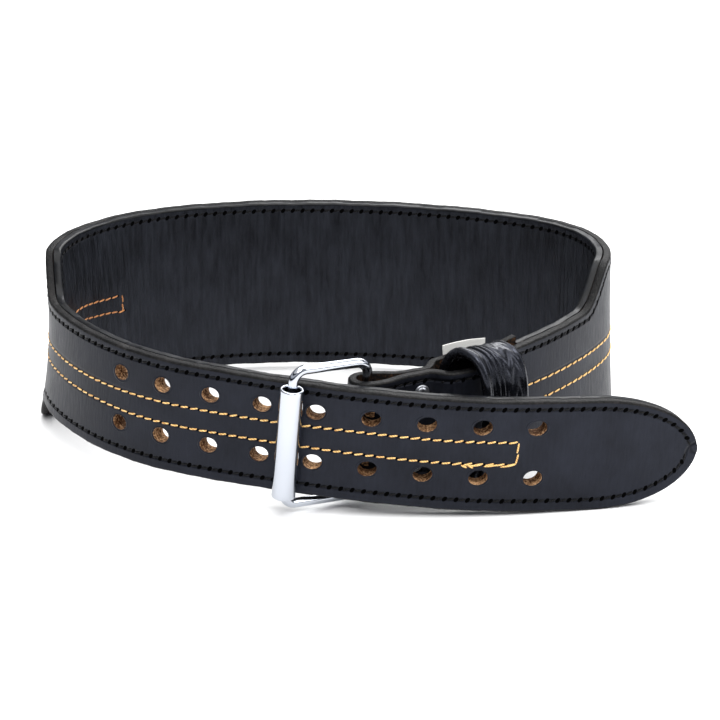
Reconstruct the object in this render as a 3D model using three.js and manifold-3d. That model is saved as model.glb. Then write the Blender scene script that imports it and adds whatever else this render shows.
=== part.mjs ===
// A weightlifting belt of two leather plies, buckled on itself and lying on its lower edge.
// Millimetres, +Z up, the buckle towards -Y. The strap is described along its length, from the tip of
// the tongue, round the waist, to the axis of the hinge bar that the outer ply is folded round.
// Places on it are given by the length s from the tip, the height v above its middle line and the
// offset o outwards from the joint of its two plies.

import * as THREE from 'three';
import Module from 'manifold-3d';
import { ConvexHull } from 'three/addons/math/ConvexHull.js';
import { mergeVertices } from 'three/addons/utils/BufferGeometryUtils.js';

const wasm = await Module();
wasm.setup();

// Strap
const loopLength = 1021;
const backWidth = 101.6;
const frontWidth = 61.5;
const plyThickness = 4.3;
const faceBevel = 0.9;
const jointBevel = 0.3;
const clearance = 0.3;
const tipLength = 60;
const tipBluntness = 2.3;
const tipFullness = 2.2;
const tipRoundness = 0.45;

// Plan of the strap: where the tip lies, which way it points, and the turn of each stretch
const tipPlace = new THREE.Vector2(175, -87.5);
const tipHeading = 196.6;
const planStretches = [
  { stretch: 'tongue end', share: 0.089, turn: -6.2 },
  { stretch: 'front', share: 0.168, turn: -33.7 },
  { stretch: 'left front', share: 0.12, turn: -44 },
  { stretch: 'left side', share: 0.1375, turn: -92.5 },
  { stretch: 'left back', share: 0.079, turn: -19.7 },
  { stretch: 'back', share: 0.1055, turn: -19.2 },
  { stretch: 'right back', share: 0.037, turn: -10.4 },
  { stretch: 'right corner', share: 0.0945, turn: -86 },
  { stretch: 'billet', share: 0.1695, turn: -52.8 },
];

// Where the strap widens to its back and narrows again, as shares of its length
const leftTaper = { from: 0.392, to: 0.422 };
const rightTaper = { from: 0.82, to: 0.852 };

// Set of the strap's cross section along its length. drop lowers the middle line, as a share of the
// step from the front's edge to the back's. tilt turns the section back along the strap, in degrees.
// lean is how far it leans in for each unit of height. curl turns its edges out, as a share of half
// the back's width.
const sectionRows = [
  { share: 0, drop: 0.77, tilt: 2, lean: 0, curl: 0 },
  { share: 0.09, drop: 0.55, tilt: 4.5, lean: 0, curl: 0 },
  { share: 0.175, drop: 0.2, tilt: 4.5, lean: 0, curl: 0 },
  { share: 0.216, drop: 0.065, tilt: 4, lean: 0.02, curl: 0 },
  { share: 0.262, drop: 0, tilt: 2, lean: 0.06, curl: 0 },
  { share: 0.33, drop: 0, tilt: 0, lean: 0.1, curl: 0 },
  { share: 0.39, drop: 0, tilt: 0, lean: 0.09, curl: 0.08 },
  { share: 0.43, drop: 0, tilt: 0, lean: 0.06, curl: 0.1 },
  { share: 0.5, drop: 0, tilt: 0, lean: 0.02, curl: 0.02 },
  { share: 0.6, drop: 0, tilt: 0, lean: 0, curl: 0 },
  { share: 0.76, drop: 0, tilt: 0, lean: 0.02, curl: 0.01 },
  { share: 0.83, drop: 0, tilt: 0, lean: 0.05, curl: 0.02 },
  { share: 0.86, drop: 0, tilt: 0, lean: 0.04, curl: 0.01 },
  { share: 0.9, drop: 0.05, tilt: 0, lean: 0.02, curl: 0 },
  { share: 1, drop: 0.22, tilt: 0, lean: 0, curl: 0 },
];
const hingeSettle = 0.86;

// Holes of the tongue
const holePairs = 9;
const firstHole = 88.8;
const holePitch = 28.25;
const holeHeights = [16.2, -11.6];
const holeLength = 10.4;
const holeWidth = 9.2;
const holeSides = 12;

// Fold that holds the buckle: its length, the room inside it, and how far each of its two layers
// stands off the middle, as shares of the fold's length and of the room
const foldLength = 93;
const foldRoom = 9.5;
const foldRadius = 5.5;
const foldEndRise = 4;
const foldEndRun = 20;
const foldRows = [
  { share: 0.26, stand: 0 },
  { share: 0.36, stand: 0 },
  { share: 0.455, stand: 0.83 },
  { share: 0.59, stand: 1 },
  { share: 0.71, stand: 0.86 },
  { share: 0.86, stand: 0.25 },
  { share: 1, stand: 0 },
];

// Buckle
const wireRadius = 2.6;
const frameLength = 43;
const frameHeight = 75.5;
const frameRise = 2.2;
const frameCorner = 6.8;
const rollerRadius = 6.25;
const rollerBore = 4.65;
const rollerLength = 61;
const rollerPlay = 1.2;
const rollerGap = 0.7;
const prongHeight = 13.7;
const prongLength = 46;
const prongRadius = 2.2;
const prongSwing = 35;
const eyeWall = 2.3;
const eyeHeight = 5;
const slotPlay = 0.5;
const slotLength = 17;

// Rivets
const rivetShare = 0.312;
const rivetHeight = 20.5;
const rivetShank = 1.6;
const rivetCap = 4.2;
const rivetDome = 1.8;

// Keeper: a band round the front layer of the fold
const keeperWidth = 22;
const keeperWall = 3;
const keeperBead = 2.2;
const keeperHalfHeight = 40;
const keeperFront = 26;
const keeperShare = 0.645;
const keeperSkew = 12;
const keeperSquareness = 0.72;

// Label on the inner face of the fold
const labelThickness = 0.8;
const labelShare = { from: 0.54, to: 0.82 };
const labelBottom = 5;
const labelStandsProud = 4.5;
const labelSlant = 5;

// Facets
const longStep = 12;
const shortStep = 5.5;
const foldSteps = 10;
const wireSides = 10;
const roundSides = 20;

// Colours
const face = new THREE.MeshStandardMaterial({ color: '#393b42', roughness: 0.48, metalness: 0 });
const lining = new THREE.MeshStandardMaterial({ color: '#1f2024', roughness: 0.55, metalness: 0 });
const glossLeather = new THREE.MeshStandardMaterial({ color: '#17181b', roughness: 0.3, metalness: 0 });
const plated = new THREE.MeshStandardMaterial({ color: '#d6dae0', roughness: 0.16, metalness: 1 });
const rivetMetal = new THREE.MeshStandardMaterial({ color: '#8a8c90', roughness: 0.35, metalness: 1 });
const tape = new THREE.MeshStandardMaterial({ color: '#e8e8e6', roughness: 0.85, metalness: 0 });

// Weights of what the pieces are made of, in grams for each cubic millimetre
const leatherWeight = 0.00095;
const steelWeight = 0.00785;
const tapeWeight = 0.0005;

const { cos, sin, PI } = Math;
const radians = THREE.MathUtils.degToRad;
const smoothstep = THREE.MathUtils.smoothstep;

// A smooth curve through the rows of a table, which stays between each two of them
function curveThrough(rows, column, key = 'share') {
  const at = rows.map((row) => row[key]);
  const value = rows.map((row) => row[column]);
  const slope = at.slice(1).map((end, i) => (value[i + 1] - value[i]) / (end - at[i]));
  const tangent = at.map((_, i) => {
    const before = slope[i - 1] ?? 0;
    const after = slope[i] ?? 0;
    return before * after > 0 ? (2 * before * after) / (before + after) : 0;
  });
  return (where) => {
    const x = THREE.MathUtils.clamp(where, at[0], at[at.length - 1]);
    const i = Math.max(0, at.findIndex((end) => end >= x) - 1);
    const width = at[i + 1] - at[i];
    const t = (x - at[i]) / width;
    const rise = value[i + 1] - value[i];
    const ease = t * t * (3 - 2 * t);
    const start = t * (1 - t) * (1 - t) * width * tangent[i];
    const end = t * t * (t - 1) * width * tangent[i + 1];
    return value[i] + rise * ease + start + end;
  };
}

const dropAt = curveThrough(sectionRows, 'drop');
const tiltAt = curveThrough(sectionRows, 'tilt');
const leanAt = curveThrough(sectionRows, 'lean');
const curlAt = curveThrough(sectionRows, 'curl');
const standAt = curveThrough(
  [{ share: 0, stand: (foldRadius - clearance / 2) / foldRoom }, ...foldRows],
  'stand',
);

// Plan point and heading at the length s from the tip
function planAt(s) {
  const point = tipPlace.clone();
  let heading = radians(tipHeading);
  let left = s;
  for (const { share, turn } of planStretches) {
    const length = share * loopLength;
    const bend = radians(turn) / length;
    const next = heading + bend * Math.min(left, length);
    point.x += (sin(next) - sin(heading)) / bend;
    point.y -= (cos(next) - cos(heading)) / bend;
    heading = next;
    left -= length;
    if (left <= 0) break;
  }
  return { point, heading };
}

// The section at s: its middle, its direction along the strap, outwards and up. The billet's section
// settles into the buckle's own set, which hingeSet gives once the buckle's place is known.
const hingeSet = { tilt: 0, lean: 0 };
function sectionAt(s) {
  const share = s / loopLength;
  const { point, heading } = planAt(s);
  const settled = smoothstep(share, hingeSettle, 1);
  const along = new THREE.Vector3(cos(heading), sin(heading), 0);
  const out = new THREE.Vector3(-sin(heading), cos(heading), 0);
  const middle = new THREE.Vector3(point.x, point.y, (-dropAt(share) * (backWidth - frontWidth)) / 2);
  const up = new THREE.Vector3(0, 0, 1)
    .addScaledVector(along, -Math.tan(radians(tiltAt(share))) - settled * hingeSet.tilt)
    .addScaledVector(out, -leanAt(share) - settled * hingeSet.lean);
  return { middle, along, out, up, curl: (curlAt(share) * backWidth) / 2 };
}

// Place at height v and offset o on the section at s
function place(s, v, o) {
  const { middle, out, up, curl } = sectionAt(s);
  const edge = (2 * v) / backWidth;
  return middle.addScaledVector(up, v).addScaledVector(out, o + curl * edge * edge);
}

// Half the strap's width at s
function halfWidthAt(s) {
  const share = s / loopLength;
  const wide =
    smoothstep(share, leftTaper.from, leftTaper.to) - smoothstep(share, rightTaper.from, rightTaper.to);
  const half = (frontWidth + (backWidth - frontWidth) * wide) / 2;
  const run = Math.min(s / tipLength, 1);
  return Math.max(half * (1 - (1 - run) ** tipFullness) ** tipRoundness, tipBluntness);
}

// How far the facing sides of the fold's two layers stand off the middle
function standOff(s) {
  return clearance / 2 + foldRoom * standAt((loopLength - s) / foldLength);
}

const outerFace = clearance / 2 + plyThickness;
const hinge = sectionAt(loopLength);

// The roller bar lies in front of the tongue, a frame's length from the hinge bar
const barOffset = outerFace + rollerGap + rollerRadius - rollerPlay;
let barNear = 0.17 * loopLength;
let barFar = 0.26 * loopLength;
for (let halving = 0; halving < 40; halving += 1) {
  const middle = (barNear + barFar) / 2;
  const reach = place(middle, 0, barOffset).distanceTo(hinge.middle);
  if (reach < frameLength) barNear = middle;
  else barFar = middle;
}
const barPlace = place(barNear, 0, barOffset);
const barOut = sectionAt(barNear).out;
const frameAcross = barPlace.clone().sub(hinge.middle).normalize();
const frameUp = new THREE.Vector3().crossVectors(frameAcross, barOut).normalize();
const frameOut = new THREE.Vector3().crossVectors(frameUp, frameAcross);
hingeSet.tilt = -frameUp.dot(hinge.along) / frameUp.z;
hingeSet.lean = -frameUp.dot(hinge.out) / frameUp.z;
hinge.up = frameUp.clone().divideScalar(frameUp.z);

// Rings of points joined into a closed body: capped at both ends, or closed on itself
function loft(rings, closed = false) {
  const count = rings[0].length;
  const positions = rings.flat().flatMap((point) => point.toArray());
  const index = [];
  const spans = closed ? rings.length : rings.length - 1;
  for (let i = 0; i < spans; i += 1) {
    const here = i * count;
    const next = ((i + 1) % rings.length) * count;
    for (let j = 0; j < count; j += 1) {
      const k = (j + 1) % count;
      index.push(here + j, here + k, next + k, here + j, next + k, next + j);
    }
  }
  if (!closed) {
    const end = (rings.length - 1) * count;
    for (let j = 1; j < count - 1; j += 1) {
      index.push(0, j + 1, j, end, end + j, end + j + 1);
    }
  }
  const geometry = new THREE.BufferGeometry();
  geometry.setAttribute('position', new THREE.Float32BufferAttribute(positions, 3));
  geometry.setIndex(index);
  if (weigh(geometry).volume < 0) index.reverse();
  geometry.setIndex(index);
  return geometry;
}

// Volume and centre of a closed indexed body, from the tetrahedra under its triangles
function weigh(geometry) {
  const { position } = geometry.attributes;
  const [a, b, c] = [0, 1, 2].map(() => new THREE.Vector3());
  const centre = new THREE.Vector3();
  let volume = 0;
  for (let i = 0; i < geometry.index.count; i += 3) {
    [a, b, c].forEach((corner, j) => corner.fromBufferAttribute(position, geometry.index.getX(i + j)));
    const part = a.dot(new THREE.Vector3().crossVectors(b, c)) / 6;
    volume += part;
    centre.addScaledVector(a.add(b).add(c), part / 4);
  }
  return { volume, centre: centre.divideScalar(volume) };
}

function solidOf(geometry) {
  const bare = geometry.clone();
  bare.deleteAttribute('normal');
  bare.deleteAttribute('uv');
  const merged = mergeVertices(bare);
  const vertProperties = new Float32Array(merged.attributes.position.array);
  const triVerts = new Uint32Array(merged.index.array);
  return new wasm.Manifold(new wasm.Mesh({ numProp: 3, vertProperties, triVerts }));
}

function geometryOf(solid) {
  const { vertProperties, triVerts } = solid.getMesh();
  const geometry = new THREE.BufferGeometry();
  geometry.setAttribute('position', new THREE.Float32BufferAttribute(vertProperties, 3));
  geometry.setIndex(Array.from(triVerts));
  return geometry;
}

function cut(geometry, cutters) {
  return geometryOf(cutters.reduce((solid, cutter) => solid.subtract(solidOf(cutter)), solidOf(geometry)));
}

// A ring of sides points round a centre, an ellipse with half axes a and b along two directions
function ellipse(centre, acrossA, a, acrossB, b, sides) {
  return Array.from({ length: sides }, (_, i) => {
    const angle = (2 * PI * i) / sides;
    return centre.clone().addScaledVector(acrossA, a * cos(angle)).addScaledVector(acrossB, b * sin(angle));
  });
}

// A straight bar of rings along an axis, each row with its place on the axis and its radius
function turned(origin, axis, across, rows, sides) {
  const side = new THREE.Vector3().crossVectors(axis, across).normalize();
  const first = new THREE.Vector3().crossVectors(side, axis).normalize();
  const rings = rows.map(({ at, radius }) => {
    return ellipse(origin.clone().addScaledVector(axis, at), first, radius, side, radius, sides);
  });
  return loft(rings);
}

// A closed ring of rectangular section round an axis
function tube(origin, axis, across, inner, outer, height, sides) {
  const side = new THREE.Vector3().crossVectors(axis, across).normalize();
  const first = new THREE.Vector3().crossVectors(side, axis).normalize();
  const edge = Math.min(0.4, (outer - inner) / 4);
  const profile = [
    [inner, -height / 2],
    [outer - edge, -height / 2],
    [outer, -height / 2 + edge],
    [outer, height / 2 - edge],
    [outer - edge, height / 2],
    [inner, height / 2],
  ];
  const rings = Array.from({ length: sides }, (_, i) => {
    const angle = (2 * PI * i) / sides;
    const spoke = first.clone().multiplyScalar(cos(angle)).addScaledVector(side, sin(angle));
    return profile.map(([radius, rise]) => {
      return origin.clone().addScaledVector(spoke, radius).addScaledVector(axis, rise);
    });
  });
  return loft(rings, true);
}

// Marks along the strap up to its fold: fine at the tip and the tapers, wide elsewhere
function strapMarks() {
  const marks = [0, 0.02, 0.06, 0.13, 0.24, 0.4, 0.6, 0.8].map((share) => share * tipLength);
  const end = loopLength - foldLength;
  let mark = tipLength;
  while (mark < end - shortStep / 2) {
    marks.push(mark);
    const reach = (mark + longStep) / loopLength;
    const near = [leftTaper, rightTaper].some(({ from, to }) => reach > from && mark / loopLength < to);
    mark += near ? shortStep : longStep;
  }
  return [...marks, end];
}

// Marks of the fold, as distances from the hinge bar: at each row of its table and evenly between
function foldDistances() {
  const marks = [];
  let from = 0;
  for (const { share } of foldRows) {
    const span = share * foldLength - from;
    const steps = Math.ceil(span / shortStep);
    for (let i = 1; i <= steps; i += 1) marks.push(from + (span * i) / steps);
    from += span;
  }
  return marks;
}

// The outer ply's middle line: along the strap, round the hinge bar and back behind itself
const foldTurn = PI * (foldRadius + plyThickness / 2);
const foldedEnd = loopLength + foldTurn + foldLength - clearance - 1;
function outerMiddle(u) {
  if (u <= loopLength) {
    const section = sectionAt(u);
    return { ...section, middle: section.middle.addScaledVector(section.out, standOff(u) + plyThickness / 2) };
  }
  if (u < loopLength + foldTurn) {
    const turn = (PI * (u - loopLength)) / foldTurn;
    const spoke = hinge.out.clone().multiplyScalar(cos(turn)).addScaledVector(hinge.along, sin(turn));
    const middle = hinge.middle.clone().addScaledVector(spoke, foldRadius + plyThickness / 2);
    return { middle, up: hinge.up, curl: 0 };
  }
  const s = 2 * loopLength + foldTurn - u;
  const section = sectionAt(s);
  const rise = foldEndRise * smoothstep(u, foldedEnd - foldEndRun, foldedEnd);
  const middle = section.middle.addScaledVector(section.out, -standOff(s) - plyThickness / 2);
  return { ...section, middle: middle.addScaledVector(section.up, rise) };
}

// The inner ply's middle line, beside the outer ply's
function innerMiddle(s) {
  const section = sectionAt(s);
  return { ...section, middle: section.middle.addScaledVector(section.out, (-clearance - plyThickness) / 2) };
}

// A strip of leather along a middle line. Its face is on the side that faceSide gives, 1 for the left.
function strip(middleAt, marks, halfWidth, faceSide) {
  const nudge = 0.4;
  const rings = marks.map((mark) => {
    const { middle, up, curl } = middleAt(mark);
    const ahead = middleAt(Math.min(mark + nudge, marks[marks.length - 1])).middle;
    const along = ahead.sub(middleAt(Math.max(mark - nudge, 0)).middle).setZ(0).normalize();
    const out = new THREE.Vector3(-along.y, along.x, 0);
    const half = halfWidth(mark);
    const profile = [
      [-plyThickness / 2 + jointBevel, -half],
      [plyThickness / 2 - faceBevel, -half],
      [plyThickness / 2, -half + faceBevel],
      [plyThickness / 2, half - faceBevel],
      [plyThickness / 2 - faceBevel, half],
      [-plyThickness / 2 + jointBevel, half],
      [-plyThickness / 2, half - jointBevel],
      [-plyThickness / 2, -half + jointBevel],
    ];
    return profile.map(([depth, v]) => {
      const edge = (2 * v) / backWidth;
      return middle.clone().addScaledVector(up, v)
        .addScaledVector(out, faceSide * depth + curl * edge * edge);
    });
  });
  return loft(rings);
}

// Direction square to the strap's face at s
function squareOut(s) {
  const { along, out, up } = sectionAt(s);
  const square = new THREE.Vector3().crossVectors(up, along).normalize();
  return square.dot(out) > 0 ? square : square.negate();
}

// Punched holes of the tongue, through both plies
function holeCutters() {
  const reach = 2 * plyThickness + clearance;
  const cutters = [];
  for (let pair = 0; pair < holePairs; pair += 1) {
    const s = firstHole + pair * holePitch;
    const { along, up } = sectionAt(s);
    const square = squareOut(s);
    for (const height of holeHeights) {
      const centre = place(s, height, 0);
      const rings = [-reach, reach].map((depth) => {
        const end = centre.clone().addScaledVector(square, depth);
        return ellipse(end, along, holeLength / 2, up, holeWidth / 2, holeSides);
      });
      cutters.push(loft(rings));
    }
  }
  return cutters;
}

// Slots in the fold that let the prongs swing, and the two rivet holes
function foldCutters() {
  const cutters = [];
  const outside = foldRadius + plyThickness + 2;
  for (const height of [prongHeight, -prongHeight]) {
    const middle = hinge.middle.clone().addScaledVector(frameUp, height);
    const corners = [[slotLength, -outside], [slotLength, foldRadius / 2], [-outside, foldRadius / 2],
      [-outside, -outside]];
    const rings = [-1, 1].map((side) => corners.map(([back, out]) => {
      return middle.clone()
        .addScaledVector(hinge.along, -back)
        .addScaledVector(hinge.out, out)
        .addScaledVector(frameUp, side * (eyeHeight / 2 + slotPlay));
    }));
    cutters.push(loft(rings));
  }
  for (const height of [rivetHeight, -rivetHeight]) {
    const s = loopLength - rivetShare * foldLength;
    const reach = 2 * plyThickness + clearance;
    const rows = [-reach, reach].map((at) => ({ at, radius: rivetShank + clearance }));
    cutters.push(turned(place(s, height, 0), squareOut(s), sectionAt(s).along, rows, wireSides));
  }
  return cutters;
}

function makeOuterPly() {
  const between = foldDistances().slice(0, -1);
  const there = [...between].reverse().map((distance) => loopLength - distance);
  const turn = Array.from({ length: foldSteps + 1 }, (_, i) => loopLength + (foldTurn * i) / foldSteps);
  const back = between.map((distance) => loopLength + foldTurn + distance);
  const marks = [...strapMarks(), ...there, ...turn, ...back, foldedEnd];
  const halfWidth = (u) => (u < loopLength ? halfWidthAt(u) : frontWidth / 2);
  return cut(strip(outerMiddle, marks, halfWidth, 1), [...holeCutters(), ...foldCutters()]);
}

function makeInnerPly() {
  return cut(strip(innerMiddle, strapMarks(), halfWidthAt, -1), holeCutters());
}

// The buckle's wire, a rounded rectangle round the hinge bar and the roller bar
function makeFrame() {
  const centre = hinge.middle.clone().add(barPlace).multiplyScalar(0.5).addScaledVector(frameUp, frameRise);
  const half = new THREE.Vector2(frameLength / 2, frameHeight / 2);
  const cornerSteps = 5;
  const rings = [];
  for (const [quarter, [sideX, sideY]] of [[1, 1], [-1, 1], [-1, -1], [1, -1]].entries()) {
    for (let step = 0; step <= cornerSteps; step += 1) {
      const angle = (PI / 2) * (quarter + step / cornerSteps);
      const spoke = frameAcross.clone().multiplyScalar(cos(angle)).addScaledVector(frameUp, sin(angle));
      const middle = centre.clone()
        .addScaledVector(frameAcross, sideX * (half.x - frameCorner))
        .addScaledVector(frameUp, sideY * (half.y - frameCorner))
        .addScaledVector(spoke, frameCorner);
      rings.push(ellipse(middle, spoke, wireRadius, frameOut, wireRadius, wireSides));
    }
  }
  return loft(rings, true);
}

function makeRoller() {
  const centre = barPlace.clone().addScaledVector(barOut, rollerPlay);
  return tube(centre, frameUp, frameAcross, rollerBore, rollerRadius, rollerLength, roundSides);
}

// A prong: an eye round the hinge bar and a tapered shank, swung in behind the fold
function makeProng(height) {
  const centre = hinge.middle.clone().addScaledVector(frameUp, height);
  const eyeInner = wireRadius + clearance;
  const swing = radians(prongSwing);
  const shankWay = hinge.along.clone().multiplyScalar(-cos(swing)).addScaledVector(hinge.out, -sin(swing));
  shankWay.addScaledVector(frameUp, -shankWay.dot(frameUp)).normalize();
  const eye = tube(centre, frameUp, shankWay, eyeInner, eyeInner + eyeWall, eyeHeight, roundSides);
  const rows = [
    { at: eyeInner + eyeWall / 2, radius: prongRadius },
    { at: prongLength * 0.6, radius: prongRadius },
    { at: prongLength * 0.93, radius: prongRadius * 0.8 },
    { at: prongLength * 0.985, radius: prongRadius * 0.55 },
    { at: prongLength, radius: prongRadius * 0.15 },
  ];
  const shank = turned(centre, shankWay, frameUp, rows, wireSides);
  return geometryOf(solidOf(eye).add(solidOf(shank)));
}

// A rivet through both layers of the fold, with a domed cap on each side
function makeRivet(height) {
  const s = loopLength - rivetShare * foldLength;
  const seat = outerFace + clearance;
  const half = [
    { at: seat, radius: rivetShank },
    { at: seat, radius: rivetCap },
    { at: seat + rivetDome * 0.3, radius: rivetCap },
    { at: seat + rivetDome * 0.75, radius: rivetCap * 0.72 },
    { at: seat + rivetDome, radius: rivetCap * 0.25 },
  ];
  const rows = [...half.map(({ at, radius }) => ({ at: -at, radius })).reverse(), ...half];
  return turned(place(s, height, 0), squareOut(s), sectionAt(s).along, rows, 14);
}

// The keeper: a rounded band whose mouth, towards the buckle, has a rolled bead. Its back wall passes
// between the fold's two layers, and its front lies farther from the buckle than its back.
function makeKeeper() {
  const s = loopLength - keeperShare * foldLength;
  const { middle, along, out, up } = sectionAt(s);
  const away = along.clone().negate();
  const backEdge = s + (keeperWidth + keeperSkew) / 2 + keeperBead;
  const back = standOff(backEdge) - clearance - keeperBead / 2;
  const centreOut = (keeperFront - back) / 2;
  const halfDepth = (keeperFront + back) / 2;
  const steps = 36;
  const bowed = (value) => Math.sign(value) * Math.abs(value) ** keeperSquareness;
  const band = (angle) => new THREE.Vector2(
    centreOut + (halfDepth - keeperWall / 2) * bowed(cos(angle)),
    (keeperHalfHeight - keeperWall / 2) * bowed(sin(angle)),
  );
  const beadAngles = [0.3, 0.65, 1, 1.35, 1.7].map((share) => share * PI);
  const rings = Array.from({ length: steps }, (_, i) => {
    const angle = (2 * PI * (i + 0.5)) / steps;
    const here = band(angle);
    const ahead = band(angle + 0.02).sub(band(angle - 0.02)).normalize();
    const spoke = out.clone().multiplyScalar(ahead.y).addScaledVector(up, -ahead.x).normalize();
    const root = middle.clone().addScaledVector(out, here.x).addScaledVector(up, here.y)
      .addScaledVector(away, (keeperSkew / 2) * cos(angle));
    const profile = [
      [keeperWidth / 2, -keeperWall / 2],
      [keeperWidth / 2, keeperWall / 2],
      [-keeperWidth / 2 + keeperBead, keeperWall / 2],
      ...beadAngles.map((turn) => [-keeperWidth / 2 + keeperBead * cos(turn), keeperBead * sin(turn)]),
      [-keeperWidth / 2 + keeperBead, -keeperWall / 2],
    ];
    return profile.map(([x, depth]) => root.clone().addScaledVector(away, x).addScaledVector(spoke, depth));
  });
  return loft(rings, true);
}

// The label: a thin tag that follows the folded layer's inner face and stands above its edge
function makeLabel() {
  const near = labelShare.from * foldLength;
  const far = labelShare.to * foldLength;
  const top = frontWidth / 2 + labelStandsProud;
  const steps = 6;
  const rings = Array.from({ length: steps + 1 }, (_, i) => {
    const share = i / steps;
    return [[labelBottom, 0], [top, 0], [top, labelThickness], [labelBottom, labelThickness]]
      .map(([v, depth]) => {
        const slant = labelSlant * (1 - share) * (1 - (v - labelBottom) / (top - labelBottom));
        const s = loopLength - near - slant - (far - near - slant) * share;
        return place(s, v, -standOff(s) - plyThickness - clearance - depth);
      });
  });
  return loft(rings);
}

const pieces = [
  { name: 'outer_ply', geometry: makeOuterPly(), material: face, weight: leatherWeight },
  { name: 'inner_ply', geometry: makeInnerPly(), material: lining, weight: leatherWeight },
  { name: 'buckle_frame', geometry: makeFrame(), material: plated, weight: steelWeight },
  { name: 'roller', geometry: makeRoller(), material: plated, weight: steelWeight },
  { name: 'prong_upper', geometry: makeProng(prongHeight), material: plated, weight: steelWeight },
  { name: 'prong_lower', geometry: makeProng(-prongHeight), material: plated, weight: steelWeight },
  { name: 'rivet_upper', geometry: makeRivet(rivetHeight), material: rivetMetal, weight: steelWeight },
  { name: 'rivet_lower', geometry: makeRivet(-rivetHeight), material: rivetMetal, weight: steelWeight },
  { name: 'keeper', geometry: makeKeeper(), material: glossLeather, weight: leatherWeight },
  { name: 'label', geometry: makeLabel(), material: tape, weight: tapeWeight },
];

// The belt lies on the face of its convex hull that is straight under its centre of mass
function restingFace() {
  const points = [];
  const balance = new THREE.Vector3();
  let mass = 0;
  for (const { geometry, weight } of pieces) {
    const { position } = geometry.attributes;
    for (let i = 0; i < position.count; i += 1) {
      points.push(new THREE.Vector3().fromBufferAttribute(position, i));
    }
    const { volume, centre } = weigh(geometry);
    balance.addScaledVector(centre, volume * weight);
    mass += volume * weight;
  }
  balance.divideScalar(mass);
  const heightUnder = ({ normal, midpoint }) => {
    const reach = (balance.x - midpoint.x) * normal.x + (balance.y - midpoint.y) * normal.y;
    return midpoint.z - reach / normal.z;
  };
  const lower = new ConvexHull().setFromPoints(points).faces.filter(({ normal }) => normal.z < -0.5);
  return lower.reduce((best, other) => (heightUnder(other) > heightUnder(best) ? other : best));
}

const belt = new THREE.Group();
for (const { name, geometry, material } of pieces) {
  geometry.computeVertexNormals();
  const mesh = new THREE.Mesh(geometry, material);
  mesh.name = name;
  belt.add(mesh);
}
belt.quaternion.setFromUnitVectors(restingFace().normal, new THREE.Vector3(0, 0, -1));
belt.updateMatrixWorld(true);

// The origin is under the middle of the belt, on the surface that it lies on
const extent = new THREE.Box3().setFromObject(belt, true);
belt.position.set(-(extent.min.x + extent.max.x) / 2, -(extent.min.y + extent.max.y) / 2, -extent.min.z);

export default belt;
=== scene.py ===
"""Looks of a two-ply leather weightlifting belt, buckled on itself and lying on its lower edge.

Sizes are in millimetres here and become metres in the meshes. Places on the strap are given by the
length s from the tip of the tongue, the height v above the strap's middle line and the offset o
outwards from the joint of its two plies, as in the part's own source.
"""
import logging
import math
from collections.abc import Callable
from dataclasses import dataclass, field
from enum import Enum

import bmesh
import bpy
import numpy as np
from mathutils import Matrix, Quaternion, Vector
from numpy.typing import NDArray


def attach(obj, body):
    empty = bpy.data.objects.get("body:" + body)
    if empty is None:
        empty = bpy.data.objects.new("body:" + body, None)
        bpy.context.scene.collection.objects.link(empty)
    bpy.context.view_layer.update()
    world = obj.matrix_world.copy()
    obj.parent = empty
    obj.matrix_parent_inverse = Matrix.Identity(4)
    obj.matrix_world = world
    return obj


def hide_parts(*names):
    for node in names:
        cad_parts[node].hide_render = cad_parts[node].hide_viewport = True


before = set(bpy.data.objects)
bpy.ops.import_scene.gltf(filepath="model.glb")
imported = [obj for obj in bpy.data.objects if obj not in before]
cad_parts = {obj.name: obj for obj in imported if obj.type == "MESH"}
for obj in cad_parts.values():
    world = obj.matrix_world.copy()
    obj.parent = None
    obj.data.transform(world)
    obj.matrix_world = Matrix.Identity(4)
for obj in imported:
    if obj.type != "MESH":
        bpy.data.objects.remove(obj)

Array = NDArray[np.float64]
Thing = bpy.types.Object
Tree = bpy.types.NodeTree
Socket = bpy.types.NodeSocket
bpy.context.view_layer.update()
MM = 0.001
# A wave texture of scale 1 repeats every 0.314 m
WAVES = 314.0
log = logging.getLogger("belt")

# How the belt rests: its turn from the frame of the buckled strap, and its place on the floor
REST_TURN = Quaternion((0.99963626, 0.02689119, -0.00205126, 0.0))
REST_PLACE = Vector((3.7597587, -3.6662259, 49.1421823))

# Camera, in the frame of the buckled strap: its distance, its height angle and its focal length
CAMERA_DISTANCE = 1400.0
CAMERA_ELEVATION = 21.5
CAMERA_ASIDE = (-0.6, -1.4)
FOCAL_PIXELS = 2518.0
PICTURE_PIXELS = 720.0
SENSOR = 36.0


class Face(Enum):
    """The two sides of a strip of leather."""

    OUTSIDE = 1.0
    INSIDE = -1.0


class Part(Enum):
    """The material slots of a ply, in order."""

    FACE = 0
    EDGE = 1
    FLESH = 2
    BACK = 3


def smoothstep(x: Array, start: float, end: float) -> Array:
    """Ease from 0 at start to 1 at end.

    Args:
        x: Where to work it out.
        start: Where the rise starts.
        end: Where it ends.

    Returns:
        3 t^2 - 2 t^3 of the share t of the way, held within 0 and 1.
    """
    t = np.clip((np.asarray(x, dtype=float) - start) / (end - start), 0.0, 1.0)
    return t * t * (3.0 - 2.0 * t)


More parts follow.
